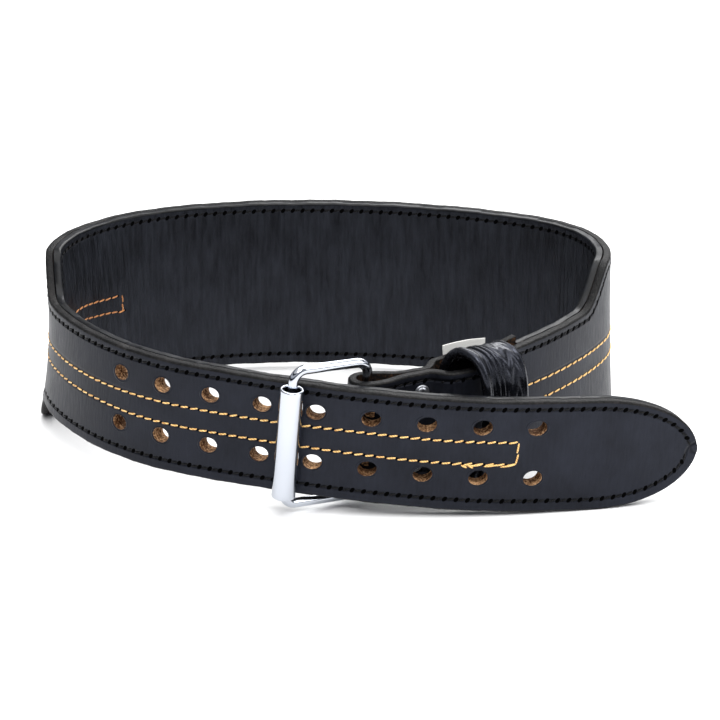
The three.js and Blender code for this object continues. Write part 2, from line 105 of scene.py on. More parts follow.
def curve_through(at: Array, value: Array, x: Array) -> Array:
    """Follow a smooth curve through the rows of a table, which stays between each two of them.

    Args:
        at: Places of the rows.
        value: Their values.
        x: Where to work the curve out.

    Returns:
        A cubic Hermite curve whose slope at a row is the harmonic mean of its neighbours' slopes.
    """
    slope = np.diff(value) / np.diff(at)
    tangent = np.zeros(len(at))
    before, after = slope[:-1], slope[1:]
    same = before * after > 0
    tangent[1:-1][same] = 2 * before[same] * after[same] / (before[same] + after[same])
    x = np.clip(x, at[0], at[-1])
    i = np.clip(np.searchsorted(at, x, side="left") - 1, 0, len(at) - 2)
    width = at[i + 1] - at[i]
    t = (x - at[i]) / width
    ease = value[i] + (value[i + 1] - value[i]) * t * t * (3 - 2 * t)
    return ease + t * (1 - t) ** 2 * width * tangent[i] + t * t * (t - 1) * width * tangent[i + 1]


def full_turn(count: int) -> Array:
    """Even angles round a circle, without the last one that would repeat the first."""
    return np.linspace(0, 2 * np.pi, count, endpoint=False)


def unit(v: Array) -> Array:
    """Scale vectors along the last axis to length 1."""
    return v / np.linalg.norm(v, axis=-1, keepdims=True)


def ripple(x: Array, waves: tuple[tuple[float, float, float], ...]) -> Array:
    """Add up sine waves, each given as its length, its height and its phase."""
    return sum(height * np.sin(2 * np.pi * x / length + phase) for length, height, phase in waves)


@dataclass(frozen=True)
class Section:
    """Cross sections of the strap: middles, directions along, outwards and up, and edge curl."""

    middle: Array
    along: Array
    out: Array
    up: Array
    curl: Array


@dataclass(frozen=True)
class Strap:
    """The buckled strap's path, set and outline, with the part's own sizes."""

    loop: float = 1021.0
    back_width: float = 101.6
    front_width: float = 61.5
    ply: float = 4.3
    clearance: float = 0.3
    tip_length: float = 60.0
    tip_bluntness: float = 2.3
    tip: tuple[float, float] = (175.0, -87.5)
    tip_heading: float = 196.6
    stretch_share: tuple[float, ...] = (0.089, 0.168, 0.12, 0.1375, 0.079, 0.1055, 0.037, 0.0945, 0.1695)
    stretch_turn: tuple[float, ...] = (-6.2, -33.7, -44.0, -92.5, -19.7, -19.2, -10.4, -86.0, -52.8)
    left_taper: tuple[float, float] = (0.392, 0.422)
    right_taper: tuple[float, float] = (0.82, 0.852)
    # Rows of share, drop, tilt in degrees, lean and curl
    rows: tuple[tuple[float, ...], ...] = (
        (0.0, 0.77, 2.0, 0.0, 0.0), (0.09, 0.55, 4.5, 0.0, 0.0), (0.175, 0.2, 4.5, 0.0, 0.0),
        (0.216, 0.065, 4.0, 0.02, 0.0), (0.262, 0.0, 2.0, 0.06, 0.0), (0.33, 0.0, 0.0, 0.1, 0.0),
        (0.39, 0.0, 0.0, 0.09, 0.08), (0.43, 0.0, 0.0, 0.06, 0.1), (0.5, 0.0, 0.0, 0.02, 0.02),
        (0.6, 0.0, 0.0, 0.0, 0.0), (0.76, 0.0, 0.0, 0.02, 0.01), (0.83, 0.0, 0.0, 0.05, 0.02),
        (0.86, 0.0, 0.0, 0.04, 0.01), (0.9, 0.05, 0.0, 0.02, 0.0), (1.0, 0.22, 0.0, 0.0, 0.0),
    )
    hinge_settle: float = 0.86
    fold_length: float = 93.0
    fold_room: float = 9.5
    fold_radius: float = 5.5
    fold_end_rise: float = 4.0
    fold_end_run: float = 20.0
    # Rows of share and stand
    fold_rows: tuple[tuple[float, float], ...] = (
        (0.26, 0.0), (0.36, 0.0), (0.455, 0.83), (0.59, 1.0), (0.71, 0.86), (0.86, 0.25), (1.0, 0.0),
    )

    def plan(self, s: Array) -> tuple[Array, Array, Array]:
        """Follow the plan's arcs, each of which starts where the one before it ends.

        Args:
            s: Lengths from the tip.

        Returns:
            The plan points' x and y and the headings in radians.
        """
        length = np.array(self.stretch_share) * self.loop
        turn = np.radians(self.stretch_turn)
        bend = turn / length
        heading = np.radians(self.tip_heading) + np.concatenate([[0.0], np.cumsum(turn)])
        step_x = (np.sin(heading[1:]) - np.sin(heading[:-1])) / bend
        step_y = (np.cos(heading[:-1]) - np.cos(heading[1:])) / bend
        x = self.tip[0] + np.concatenate([[0.0], np.cumsum(step_x)])
        y = self.tip[1] + np.concatenate([[0.0], np.cumsum(step_y)])
        start = np.concatenate([[0.0], np.cumsum(length)])
        i = np.clip(np.searchsorted(start, s, side="right") - 1, 0, len(length) - 1)
        now = heading[i] + bend[i] * (s - start[i])
        return (x[i] + (np.sin(now) - np.sin(heading[i])) / bend[i],
                y[i] - (np.cos(now) - np.cos(heading[i])) / bend[i], now)

    def _table(self, column: int, share: Array) -> Array:
        """Follow one column of the section table."""
        rows = np.array(self.rows)
        return curve_through(rows[:, 0], rows[:, column], share)

    def section(self, s: Array, settle: bool = True) -> Section:
        """Work out the strap's cross sections.

        Args:
            s: Lengths from the tip.
            settle: Whether the billet settles into the buckle's set.

        Returns:
            The sections at s.
        """
        s = np.atleast_1d(np.asarray(s, dtype=float))
        x, y, heading = self.plan(s)
        share = s / self.loop
        z = -self._table(1, share) * (self.back_width - self.front_width) / 2
        zero = np.zeros_like(s)
        along = np.stack([np.cos(heading), np.sin(heading), zero], -1)
        out = np.stack([-np.sin(heading), np.cos(heading), zero], -1)
        tilt = np.tan(np.radians(self._table(2, share)))
        lean = self._table(3, share)
        if settle:
            eased = smoothstep(share, self.hinge_settle, 1.0)
            set_tilt, set_lean = BUCKLE_SET
            tilt = tilt + eased * set_tilt
            lean = lean + eased * set_lean
        up = np.array([0.0, 0.0, 1.0]) - along * tilt[:, None] - out * lean[:, None]
        return Section(np.stack([x, y, z], -1), along, out, up, self._table(4, share) * self.back_width / 2)

    def half_width(self, s: Array) -> Array:
        """Half the strap's width: front and back widths eased at the tapers, and the tip's curve."""
        share = s / self.loop
        wide = smoothstep(share, *self.left_taper) - smoothstep(share, *self.right_taper)
        half = (self.front_width + (self.back_width - self.front_width) * wide) / 2
        run = np.clip(s / self.tip_length, 0.0, 1.0)
        return np.maximum(half * (1 - (1 - run) ** 2.2) ** 0.52, self.tip_bluntness)

    def stand_off(self, s: Array) -> Array:
        """How far the facing sides of the fold's two layers stand off the middle."""
        start = (self.fold_radius - self.clearance / 2) / self.fold_room
        rows = np.array([(0.0, start), *self.fold_rows])
        stand = curve_through(rows[:, 0], rows[:, 1], (self.loop - s) / self.fold_length)
        return self.clearance / 2 + self.fold_room * stand

    def place(self, s: Array, v: Array, o: Array) -> Array:
        """Points at heights v and offsets o on the sections at s."""
        sec = self.section(s)
        edge = 2 * np.asarray(v, dtype=float) / self.back_width
        shift = np.asarray(o, dtype=float) + sec.curl * edge * edge
        return sec.middle + sec.up * np.broadcast_to(v, sec.curl.shape)[:, None] + sec.out * shift[:, None]

    @property
    def fold_turn(self) -> float:
        """Length of the outer ply's middle line round the hinge bar."""
        return math.pi * (self.fold_radius + self.ply / 2)

    @property
    def folded_end(self) -> float:
        """Length of the outer ply's middle line."""
        return self.loop + self.fold_turn + self.fold_length - self.clearance - 1.0

    def outer_line(self, u: Array) -> Section:
        """The outer ply's middle line: along the strap, round the hinge bar and back behind itself.

        Args:
            u: Lengths along the ply.

        Returns:
            Sections whose middles lie in the middle of the ply.
        """
        back = u >= self.loop + self.fold_turn
        s = np.where(back, 2 * self.loop + self.fold_turn - u, np.minimum(u, self.loop))
        sec = self.section(s)
        side = np.where(back, -1.0, 1.0)
        middle = sec.middle + sec.out * (side * (self.stand_off(s) + self.ply / 2))[:, None]
        turn = np.clip((u - self.loop) / self.fold_turn, 0.0, 1.0) * np.pi
        spoke = sec.out * np.cos(turn)[:, None] + sec.along * np.sin(turn)[:, None]
        round_bar = (u > self.loop) & ~back
        radius = self.fold_radius + self.ply / 2
        middle = np.where(round_bar[:, None], sec.middle + spoke * radius, middle)
        rise = self.fold_end_rise * smoothstep(u, self.folded_end - self.fold_end_run, self.folded_end)
        return Section(middle + sec.up * rise[:, None], sec.along, sec.out, sec.up, sec.curl)

    def inner_line(self, s: Array) -> Section:
        """The inner ply's middle line, beside the outer ply's."""
        sec = self.section(s)
        middle = sec.middle - sec.out * (self.clearance + self.ply) / 2
        return Section(middle, sec.along, sec.out, sec.up, sec.curl)


@dataclass(frozen=True)
class Holes:
    """The pairs of punched holes, and the heights of their two rows."""

    pairs: int = 9
    first: float = 88.8
    pitch: float = 28.25
    upper: float = 16.2
    lower: float = -11.6
    length: float = 10.0
    width: float = 8.2
    sides: int = 28

    @property
    def centre(self) -> float:
        """Height midway between the rows."""
        return (self.upper + self.lower) / 2

    @property
    def spread(self) -> float:
        """Half the distance between the rows."""
        return (self.upper - self.lower) / 2


STRAP = Strap()
HOLES = Holes()


def to_world(points: Array) -> Array:
    """Turn points of the buckled strap's frame, in millimetres, into the floor's frame in metres."""
    turn = np.array(REST_TURN.to_matrix())
    return (points @ turn.T + np.array(REST_PLACE)) * MM


@dataclass(frozen=True)
class Buckle:
    """The wire frame's sizes, and where it sits."""

    wire: float = 2.6
    length: float = 43.0
    height: float = 75.5
    rise: float = 2.2
    corner: float = 6.8
    roller: float = 6.25
    bore: float = 4.65
    roller_length: float = 61.0
    play: float = 1.2
    gap: float = 0.7
    prong_length: float = 46.0
    prong: float = 2.2
    swing: float = 35.0
    eye_wall: float = 2.3
    eye_height: float = 5.0
    eye_play: float = 0.3
    prong_height: float = 13.7
    rivet_share: float = 0.312
    rivet_height: float = 20.5

    def bar_offset(self) -> float:
        """Offset of the roller bar's axis from the joint of the tongue's plies."""
        return STRAP.clearance / 2 + STRAP.ply + self.gap + self.roller - self.play

    def axes(self) -> dict[str, Array]:
        """Find the roller bar a frame's length from the hinge bar, and the frame's directions.

        Returns:
            The hinge, the bar, and the directions across, up and out of the frame's plane.
        """
        hinge = STRAP.section(STRAP.loop, settle=False)
        near, far = 0.17 * STRAP.loop, 0.26 * STRAP.loop
        for _ in range(40):
            middle = (near + far) / 2
            sec = STRAP.section(middle, settle=False)
            bar = (sec.middle + sec.out * self.bar_offset())[0]
            if np.linalg.norm(bar - hinge.middle[0]) < self.length:
                near = middle
            else:
                far = middle
        sec = STRAP.section(near, settle=False)
        bar = (sec.middle + sec.out * self.bar_offset())[0]
        across = unit(bar - hinge.middle[0])
        up = unit(np.cross(across, sec.out[0]))
        return {"hinge": hinge.middle[0], "bar": bar, "bar_out": sec.out[0], "across": across, "up": up,
                "out": np.cross(up, across), "along": hinge.along[0], "hinge_out": hinge.out[0]}


BUCKLE = Buckle()
AXES = BUCKLE.axes()
BUCKLE_SET = (-float(AXES["up"] @ AXES["along"] / AXES["up"][2]),
              -float(AXES["up"] @ AXES["hinge_out"] / AXES["up"][2]))


def grid_faces(rows: int, columns: int, wrap_rows: bool, wrap_columns: bool) -> Array:
    """List the quads of a grid of points.

    Args:
        rows: Number of rows.
        columns: Number of points in a row.
        wrap_rows: Whether the last row joins the first.
        wrap_columns: Whether each row closes on itself.

    Returns:
        An array of four point numbers a quad.
    """
    i = np.arange(rows if wrap_rows else rows - 1)[:, None]
    j = np.arange(columns if wrap_columns else columns - 1)[None, :]
    i2, j2 = (i + 1) % rows, (j + 1) % columns
    quads = np.stack([i * columns + j, i * columns + j2, i2 * columns + j2, i2 * columns + j], -1)
    return quads.reshape(-1, 4)


def make_object(name: str, points: Array, faces: list, world: bool = False) -> Thing:
    """Make a smooth-shaded mesh object with its faces pointing out.

    Args:
        name: Name of the piece.
        points: Its points, in millimetres of the strap's frame, or in metres where world is true.
        faces: Its faces.
        world: Whether the points are already placed.

    Returns:
        The object, linked to the scene and lying at the origin.
    """
    mesh = bpy.data.meshes.new(name)
    flat = np.asarray(points, dtype=float).reshape(-1, 3)
    mesh.from_pydata((flat if world else to_world(flat)).tolist(), [], [list(map(int, f)) for f in faces])
    work = bmesh.new()
    work.from_mesh(mesh)
    bmesh.ops.recalc_face_normals(work, faces=work.faces)
    if work.calc_volume(signed=True) < 0:
        bmesh.ops.reverse_faces(work, faces=work.faces)
    work.to_mesh(mesh)
    work.free()
    mesh.shade_smooth()
    obj = bpy.data.objects.new(name, mesh)
    bpy.context.scene.collection.objects.link(obj)
    return obj


def bar_faces(rows: int, columns: int, start: int = 0) -> list:
    """Faces of a bar of closed rings that follow each other from a start, with both ends capped."""
    sides = (grid_faces(rows, columns, False, True) + start).tolist()
    return sides + [list(range(first, first + columns)) for first in (start, start + (rows - 1) * columns)]


def join_bars(bars: list[Array]) -> tuple[Array, list]:
    """Points and faces of several bars of closed rings in one mesh."""
    faces, start = [], 0
    for rings in bars:
        faces += bar_faces(*rings.shape[:2], start)
        start += rings.shape[0] * rings.shape[1]
    return np.concatenate([rings.reshape(-1, 3) for rings in bars]), faces


def lofted(name: str, rings: Array, closed: bool = False) -> Thing:
    """Join rings of points into a closed body: a ring body, or a bar with both ends capped."""
    rows, columns = rings.shape[:2]
    faces = grid_faces(rows, columns, True, True).tolist() if closed else bar_faces(rows, columns)
    return make_object(name, rings, faces)


def sharpen(obj: Thing, degrees: float) -> None:
    """Mark edges sharper than an angle, so that they shade as edges."""
    obj.data.set_sharp_from_angle(angle=math.radians(degrees))


def combine(obj: Thing, tool: Thing, operation: str) -> None:
    """Cut a tool out of a piece, or join it on, and remove the tool."""
    modifier = obj.modifiers.new("combine", "BOOLEAN")
    modifier.operation = operation
    modifier.solver = "EXACT"
    modifier.object = tool
    done = bpy.data.meshes.new_from_object(obj.evaluated_get(bpy.context.evaluated_depsgraph_get()))
    obj.modifiers.clear()
    old, obj.data = obj.data, done
    done.name = obj.name
    bpy.data.meshes.remove(old)
    bpy.data.objects.remove(tool)


def write_uv(mesh: bpy.types.Mesh, name: str, values: Array) -> None:
    """Write a UV map, in metres, from values in millimetres at the points."""
    layer = mesh.uv_layers.new(name=name)
    corner = np.zeros(len(mesh.loops), dtype=np.int32)
    mesh.loops.foreach_get("vertex_index", corner)
    layer.data.foreach_set("uv", (values.reshape(-1, 2) * MM)[corner].astype(np.float32).ravel())


# Finishes


def linear(hex_colour: str) -> tuple[float, float, float, float]:
    """Turn an sRGB hex value into a linear colour with alpha 1."""
    parts = [int(hex_colour[i:i + 2], 16) / 255 for i in (1, 3, 5)]
    return (*(p / 12.92 if p <= 0.04045 else ((p + 0.055) / 1.055) ** 2.4 for p in parts), 1.0)


def node(tree: Tree, kind: str, settings: dict | None = None, inputs: dict | None = None) -> bpy.types.Node:
    """Add a node with its settings, and with its inputs set or linked.

    Args:
        tree: The tree that gets it.
        kind: The node's type.
        settings: Properties of the node.
        inputs: Values or output sockets, by input name or number.

    Returns:
        The node.
    """
    made = tree.nodes.new(kind)
    for key, value in (settings or {}).items():
        setattr(made, key, value)
    for key, value in (inputs or {}).items():
        if isinstance(value, Socket):
            tree.links.new(value, made.inputs[key])
        else:
            made.inputs[key].default_value = value
    return made


def new_material(name: str, **sockets: float | tuple) -> tuple[bpy.types.Material, Tree, bpy.types.Node]:
    """Make a material whose Principled BSDF has the given socket values."""
    material = bpy.data.materials.new(name)
    material.use_nodes = True
    shader = material.node_tree.nodes["Principled BSDF"]
    for key, value in sockets.items():
        shader.inputs[key.replace("_", " ")].default_value = value
    return material, material.node_tree, shader


def ramp(tree: Tree, factor: Socket, stops: tuple[tuple[float, str], ...]) -> Socket:
    """Add a colour ramp through sRGB stops, and return its colour."""
    made = node(tree, "ShaderNodeValToRGB", inputs={"Fac": factor})
    elements = made.color_ramp.elements
    while len(elements) < len(stops):
        elements.new(0.5)
    for element, (at, colour) in zip(elements, stops):
        element.position = at
        element.color = linear(colour)
    return made.outputs["Color"]


def maths(tree: Tree, operation: str, *values: Socket | float) -> Socket:
    """Add a Math node of up to three values or sockets, and return its value."""
    return node(tree, "ShaderNodeMath", {"operation": operation}, dict(enumerate(values))).outputs[0]


def noise(tree: Tree, vector: Socket, size_mm: float, detail: float = 4.0,
          stretch: tuple[float, float, float] = (1.0, 1.0, 1.0)) -> Socket:
    """Add noise whose blotches are about size_mm wide, drawn out along the stretched axes."""
    scaled = node(tree, "ShaderNodeMapping", inputs={0: vector, "Scale": tuple(1 / part for part in stretch)})
    made = node(tree, "ShaderNodeTexNoise", inputs={"Vector": scaled.outputs[0], "Scale": 1000 / size_mm,
                                                    "Detail": detail, "Roughness": 0.6})
    return made.outputs["Fac"]


def line_at(tree: Tree, value: Socket, at: float, half: float) -> Socket:
    """1 where a value is the given one and 0 beyond half a width from it, with soft sides."""
    away = maths(tree, "ABSOLUTE", maths(tree, "SUBTRACT", value, at))
    made = node(tree, "ShaderNodeMapRange", {"interpolation_type": "SMOOTHSTEP"},
                {0: away, 1: 0.0, 2: half, 3: 1.0, 4: 0.0})
    return made.outputs[0]


def blend(tree: Tree, first: Socket, second: Socket, share: float) -> Socket:
    """The first value times what the share leaves of 1, plus the second times the share."""
    parts = (maths(tree, "MULTIPLY", value, part) for value, part in ((first, 1 - share), (second, share)))
    return maths(tree, "ADD", *parts)


def object_place(tree: Tree) -> Socket:
    """Add the place on the piece, in metres."""
    return node(tree, "ShaderNodeTexCoord").outputs["Object"]


def uv_place(tree: Tree, name: str) -> Socket:
    """Add the place in one of the UV maps, in metres."""
    return node(tree, "ShaderNodeUVMap", {"uv_map": name}).outputs[0]


def vary_roughness(tree: Tree, shader: bpy.types.Node, factor: Socket, low: float, high: float) -> None:
    """Vary a shader's roughness from low to high as a noise goes from 0.3 to 0.7."""
    made = node(tree, "ShaderNodeMapRange", inputs={0: factor, 1: 0.3, 2: 0.7, 3: low, 4: high})
    tree.links.new(made.outputs[0], shader.inputs["Roughness"])


def add_relief(tree: Tree, shader: bpy.types.Node, height: Socket) -> None:
    """Give a shader's surface a relief whose height is in metres."""
    made = node(tree, "ShaderNodeBump", inputs={"Height": height, "Strength": 1.0, "Distance": 1.0})
    tree.links.new(made.outputs[0], shader.inputs["Normal"])


@dataclass(frozen=True)
class FinishedLeather:
    """Vegetable-tanned leather with a pigmented, pressed finish: satin, with fine pores and creases."""

    name: str = "finished_leather_face"
    dark: str = "#0c0d11"
    light: str = "#1b1d24"
    roughness: float = 0.4
    pore_mm: float = 0.55
    pore_depth: float = 0.02
    crease_mm: float = 1.7
    crease_stretch: tuple[float, float, float] = (1.0, 6.0, 1.0)
    crease_depth: float = 0.16
    # Share of the crease noise in the colour: painted shade in the hollows, painted highlight on the tops
    crease_shade_share: float = 0.4
    gloss: float = 0.2
    blotch_mm: float = 26.0
    # Insets of the stitched rows from the upper and lower edges, and the furrow that they lie in
    edge_rows: tuple[float, float] = (4.4, 6.2)
    furrow_half: float = 1.5
    furrow_depth: float = 0.45
    # Pressed lines under the twin rows, from a length on: their middle, half distance, half width, depth
    pressed_lines: tuple[float, float, float, float] = (1.9, 6.0, 1.3, 0.16)
    pressed_from: float = 97.5
    hole_rim: float = 0.25
    rim_oval: float = 1.13
    rim_half: float = 0.12
    decorated: bool = True

    def material(self) -> bpy.types.Material:
        """Build the leather: blotchy pigment, pores, creases across the strap and pressed stitch lines. The
        colour follows the creases, darker in their hollows and lighter on their tops, as painted shade and
        highlight; the stitch furrows are painted nearly black as shade.
        """
        material, tree, shader = new_material(self.name, Roughness=self.roughness,
                                              Specular_IOR_Level=self.gloss, Specular_Tint=linear("#e3e9ff"))
        place, strap = object_place(tree), uv_place(tree, "Strap")
        edge = node(tree, "ShaderNodeSeparateXYZ", inputs={0: uv_place(tree, "Edge")})
        furrow = maths(tree, "MAXIMUM", *(line_at(tree, edge.outputs[side], inset * MM, self.furrow_half * MM)
                                          for side, inset in enumerate(self.edge_rows)))
        blotch = noise(tree, place, self.blotch_mm, 5.0)
        crease = noise(tree, strap, self.crease_mm, 6.0, self.crease_stretch)
        pores = node(tree, "ShaderNodeTexVoronoi", inputs={"Vector": place, "Scale": 1000 / self.pore_mm})
        # Painted shade and highlight: the crease noise that raises the relief also darkens the hollows and
        # lightens the tops in the colour
        mixed = blend(tree, blotch, crease, self.crease_shade_share)
        colour = ramp(tree, mixed, ((0.36, self.dark), (0.66, self.light)))
        # Painted shade: the stitch furrows are darkened nearly to black in the colour
        shaded = node(tree, "ShaderNodeMix", {"data_type": "RGBA"},
                      {0: maths(tree, "MULTIPLY", furrow, 0.95), 6: colour, 7: linear("#010102")})
        tree.links.new(shaded.outputs[2], shader.inputs["Base Color"])
        vary_roughness(tree, shader, crease, self.roughness - 0.06, self.roughness + 0.1)
        layers = [(crease, self.crease_depth), (pores.outputs["Distance"], self.pore_depth),
                  (furrow, -self.furrow_depth)]
        if self.decorated:
            flat = node(tree, "ShaderNodeSeparateXYZ", inputs={0: strap})
            layers += [(self._pressed(tree, flat), -self.pressed_lines[3]),
                       (self._hole_rims(tree, flat), self.hole_rim)]
        relief = 0.0
        for layer, depth in layers:
            relief = maths(tree, "ADD", maths(tree, "MULTIPLY", layer, depth * MM), relief)
        add_relief(tree, shader, relief)
        return material

    def _pressed(self, tree: Tree, flat: bpy.types.Node) -> Socket:
        """Lines pressed under the twin rows: 1 along both of them, 0 away from them and before they start."""
        middle, distance, half, _ = self.pressed_lines
        height = maths(tree, "ABSOLUTE", maths(tree, "SUBTRACT", flat.outputs[1], middle * MM))
        started = maths(tree, "GREATER_THAN", flat.outputs[0], self.pressed_from * MM)
        return maths(tree, "MULTIPLY", line_at(tree, height, distance * MM, half * MM), started)

    def _hole_rims(self, tree: Tree, flat: bpy.types.Node) -> Socket:
        """Rings pressed up round the punched holes: 1 on an oval a little wider than a hole, 0 off it."""
        length, level = flat.outputs[0], flat.outputs[1]
        cell = maths(tree, "WRAP", maths(tree, "SUBTRACT", length, HOLES.first * MM), HOLES.pitch * MM / 2,
                     -HOLES.pitch * MM / 2)
        rise = maths(tree, "ABSOLUTE", maths(tree, "SUBTRACT", level, HOLES.centre * MM))
        rise = maths(tree, "SUBTRACT", rise, HOLES.spread * MM)
        squares = [maths(tree, "POWER", maths(tree, "DIVIDE", part, size * MM / 2), 2.0)
                   for part, size in ((cell, HOLES.length), (rise, HOLES.width))]
        ring = line_at(tree, maths(tree, "SQRT", maths(tree, "ADD", *squares)), self.rim_oval, self.rim_half)
        ahead = maths(tree, "GREATER_THAN", length, (HOLES.first - HOLES.pitch / 2) * MM)
        before = maths(tree, "LESS_THAN", length, (HOLES.first + HOLES.pitch * (HOLES.pairs - 0.5)) * MM)
        return maths(tree, "MULTIPLY", ring, maths(tree, "MULTIPLY", ahead, before))


@dataclass(frozen=True)
class EdgeLeather:
    """A cut edge, dyed and rubbed down: fibres show where it is rough, and it shines where it is slicked."""

    name: str = "dyed_cut_edge"
    dark: str = "#040405"
    light: str = "#1f1d1d"
    roughness: float = 0.5
    fibre_mm: float = 1.3
    depth: float = 0.5
    blotch_mm: float = 14.0
    gloss: float = 0.16

    def material(self) -> bpy.types.Material:
        """Build the edge: fibres and blotches over a dyed ground. Raised fibres come out lighter: partly
        their own paler tone, partly painted highlight on their tips.
        """
        material, tree, shader = new_material(self.name, Roughness=self.roughness,
                                              Specular_IOR_Level=self.gloss)
        place = object_place(tree)
        fibre = noise(tree, place, self.fibre_mm, 6.0)
        mixed = blend(tree, fibre, noise(tree, place, self.blotch_mm, 3.0), 0.4)
        # Raised fibres are lighter: their own paler tone, with painted highlight on their tips
        colour = ramp(tree, mixed, ((0.46, self.dark), (0.64, self.light)))
        tree.links.new(colour, shader.inputs["Base Color"])
        add_relief(tree, shader, maths(tree, "MULTIPLY", fibre, self.depth * MM))
        return material


@dataclass(frozen=True)
class PlatedSteel:
    """Bright nickel plating on bent wire and rolled tube: mirror-like, with faint smears."""

    name: str = "bright_plating"
    colour: str = "#bcc0c8"
    roughness: float = 0.1
    smear_mm: float = 9.0

    def material(self) -> bpy.types.Material:
        """Build the plating: a metal whose roughness varies a little in smears."""
        material, tree, shader = new_material(self.name, Metallic=1.0, Base_Color=linear(self.colour))
        smear = noise(tree, object_place(tree), self.smear_mm, 5.0, (1.0, 1.0, 5.0))
        vary_roughness(tree, shader, smear, self.roughness * 0.6, self.roughness * 1.7)
        return material


@dataclass(frozen=True)
class WaxedThread:
    """Waxed twisted thread: satin, with the twist showing as slanted ridges."""

    name: str
    dark: str
    light: str
    roughness: float = 0.5
    gloss: float = 0.5
    sheen: float = 0.2
    twist_mm: float = 0.7
    spot_mm: float = 2.2
    depth: float = 0.08

    def material(self) -> bpy.types.Material:
        """Build the thread: slanted bands of its twist over the stitch's own colour, darker in the twist's
        grooves and lighter on its ridges as painted shade and highlight.
        """
        material, tree, shader = new_material(self.name, Roughness=self.roughness, Sheen_Weight=self.sheen,
                                              Specular_IOR_Level=self.gloss)
        place = object_place(tree)
        bands = node(tree, "ShaderNodeTexWave", {"bands_direction": "DIAGONAL"},
                     {"Vector": place, "Scale": WAVES / self.twist_mm, "Distortion": 1.2, "Detail": 1.0})
        # Painted shade and highlight: the twist's ridges are lighter and its grooves darker in the colour
        mixed = blend(tree, bands.outputs["Fac"], noise(tree, place, self.spot_mm, 3.0), 0.6)
        tree.links.new(ramp(tree, mixed, ((0.25, self.dark), (0.7, self.light))), shader.inputs["Base Color"])
        add_relief(tree, shader, maths(tree, "MULTIPLY", bands.outputs["Fac"], self.depth * MM))
        return material


@dataclass(frozen=True)
class WovenTape:
    """White woven polyester tape: matt, with warp and weft a little under half a millimetre apart."""

    name: str = "white_woven_tape"
    yarn_mm: float = 0.45
    depth: float = 0.1

    def material(self) -> bpy.types.Material:
        """Build the tape: two crossed sets of yarns as colour and relief."""
        material, tree, shader = new_material(self.name, Roughness=0.85, Sheen_Weight=0.3)
        strap = uv_place(tree, "Strap")
        sets = [node(tree, "ShaderNodeTexWave", {"bands_direction": way},
                     {"Vector": strap, "Scale": WAVES / self.yarn_mm}).outputs["Fac"] for way in ("X", "Y")]
        weave = maths(tree, "MULTIPLY", *sets)
        tree.links.new(ramp(tree, weave, ((0.0, "#c9c8c4"), (0.6, "#f4f3f0"))), shader.inputs["Base Color"])
        add_relief(tree, shader, maths(tree, "MULTIPLY", weave, self.depth * MM))
        return material


FACE_LEATHER = FinishedLeather()
# The lining's creases carry most of its colour: painted shade in their hollows, painted highlight on their
# tops
LINING_LEATHER = FinishedLeather("wrinkled_leather_lining", "#040405", "#202227", 0.4, pore_mm=0.6,
                                 crease_mm=3.2, crease_stretch=(1.0, 8.0, 1.0), crease_depth=1.9,
                                 crease_shade_share=0.7, gloss=0.24, decorated=False)
# The keeper has no stitched rows: insets below 0 lie off it
KEEPER_LEATHER = FinishedLeather("glossy_leather_keeper", "#030304", "#0a0b0e", 0.24, pore_mm=0.6,
                                 crease_mm=6.0, crease_stretch=(1.0, 1.0, 1.0), crease_depth=0.02,
                                 gloss=0.45, edge_rows=(-9.0, -9.0), decorated=False)
ROUGH_EDGE = EdgeLeather()
SLICK_EDGE = EdgeLeather("slicked_cut_edge", "#060709", "#12141a", 0.34, 3.0, 0.12)
FLESH = EdgeLeather("undyed_leather", "#4a2f1b", "#dcb083", 0.85, 1.1, 0.4)
DYED_FLESH = EdgeLeather("dyed_flesh_side", "#0b0807", "#4c3421", 0.9, 1.6, 0.3)
PLATING = PlatedSteel()
RIVET_PLATING = PlatedSteel("dulled_plating", "#9a9ca1", 0.3, 3.0)
YELLOW_THREAD = WaxedThread("yellow_waxed_thread", "#b8731f", "#ffd98c")
# The inside rows are the same yellow thread, given darker colours as painted shade
SHADED_THREAD = WaxedThread("yellow_thread_painted_shade", "#7a431c", "#c98648")
BLACK_THREAD = WaxedThread("black_waxed_thread", "#010102", "#08080a", 0.45, 0.14, 0.0)
# Painted shade: near-black lenses at the stitches' ends stand for the dark insides of the awl holes
SLIT = WaxedThread("shadowed_awl_slit", "#010101", "#020202", 0.9, 0.02, 0.0)
TAPE = WovenTape()


# Sub-assemblies


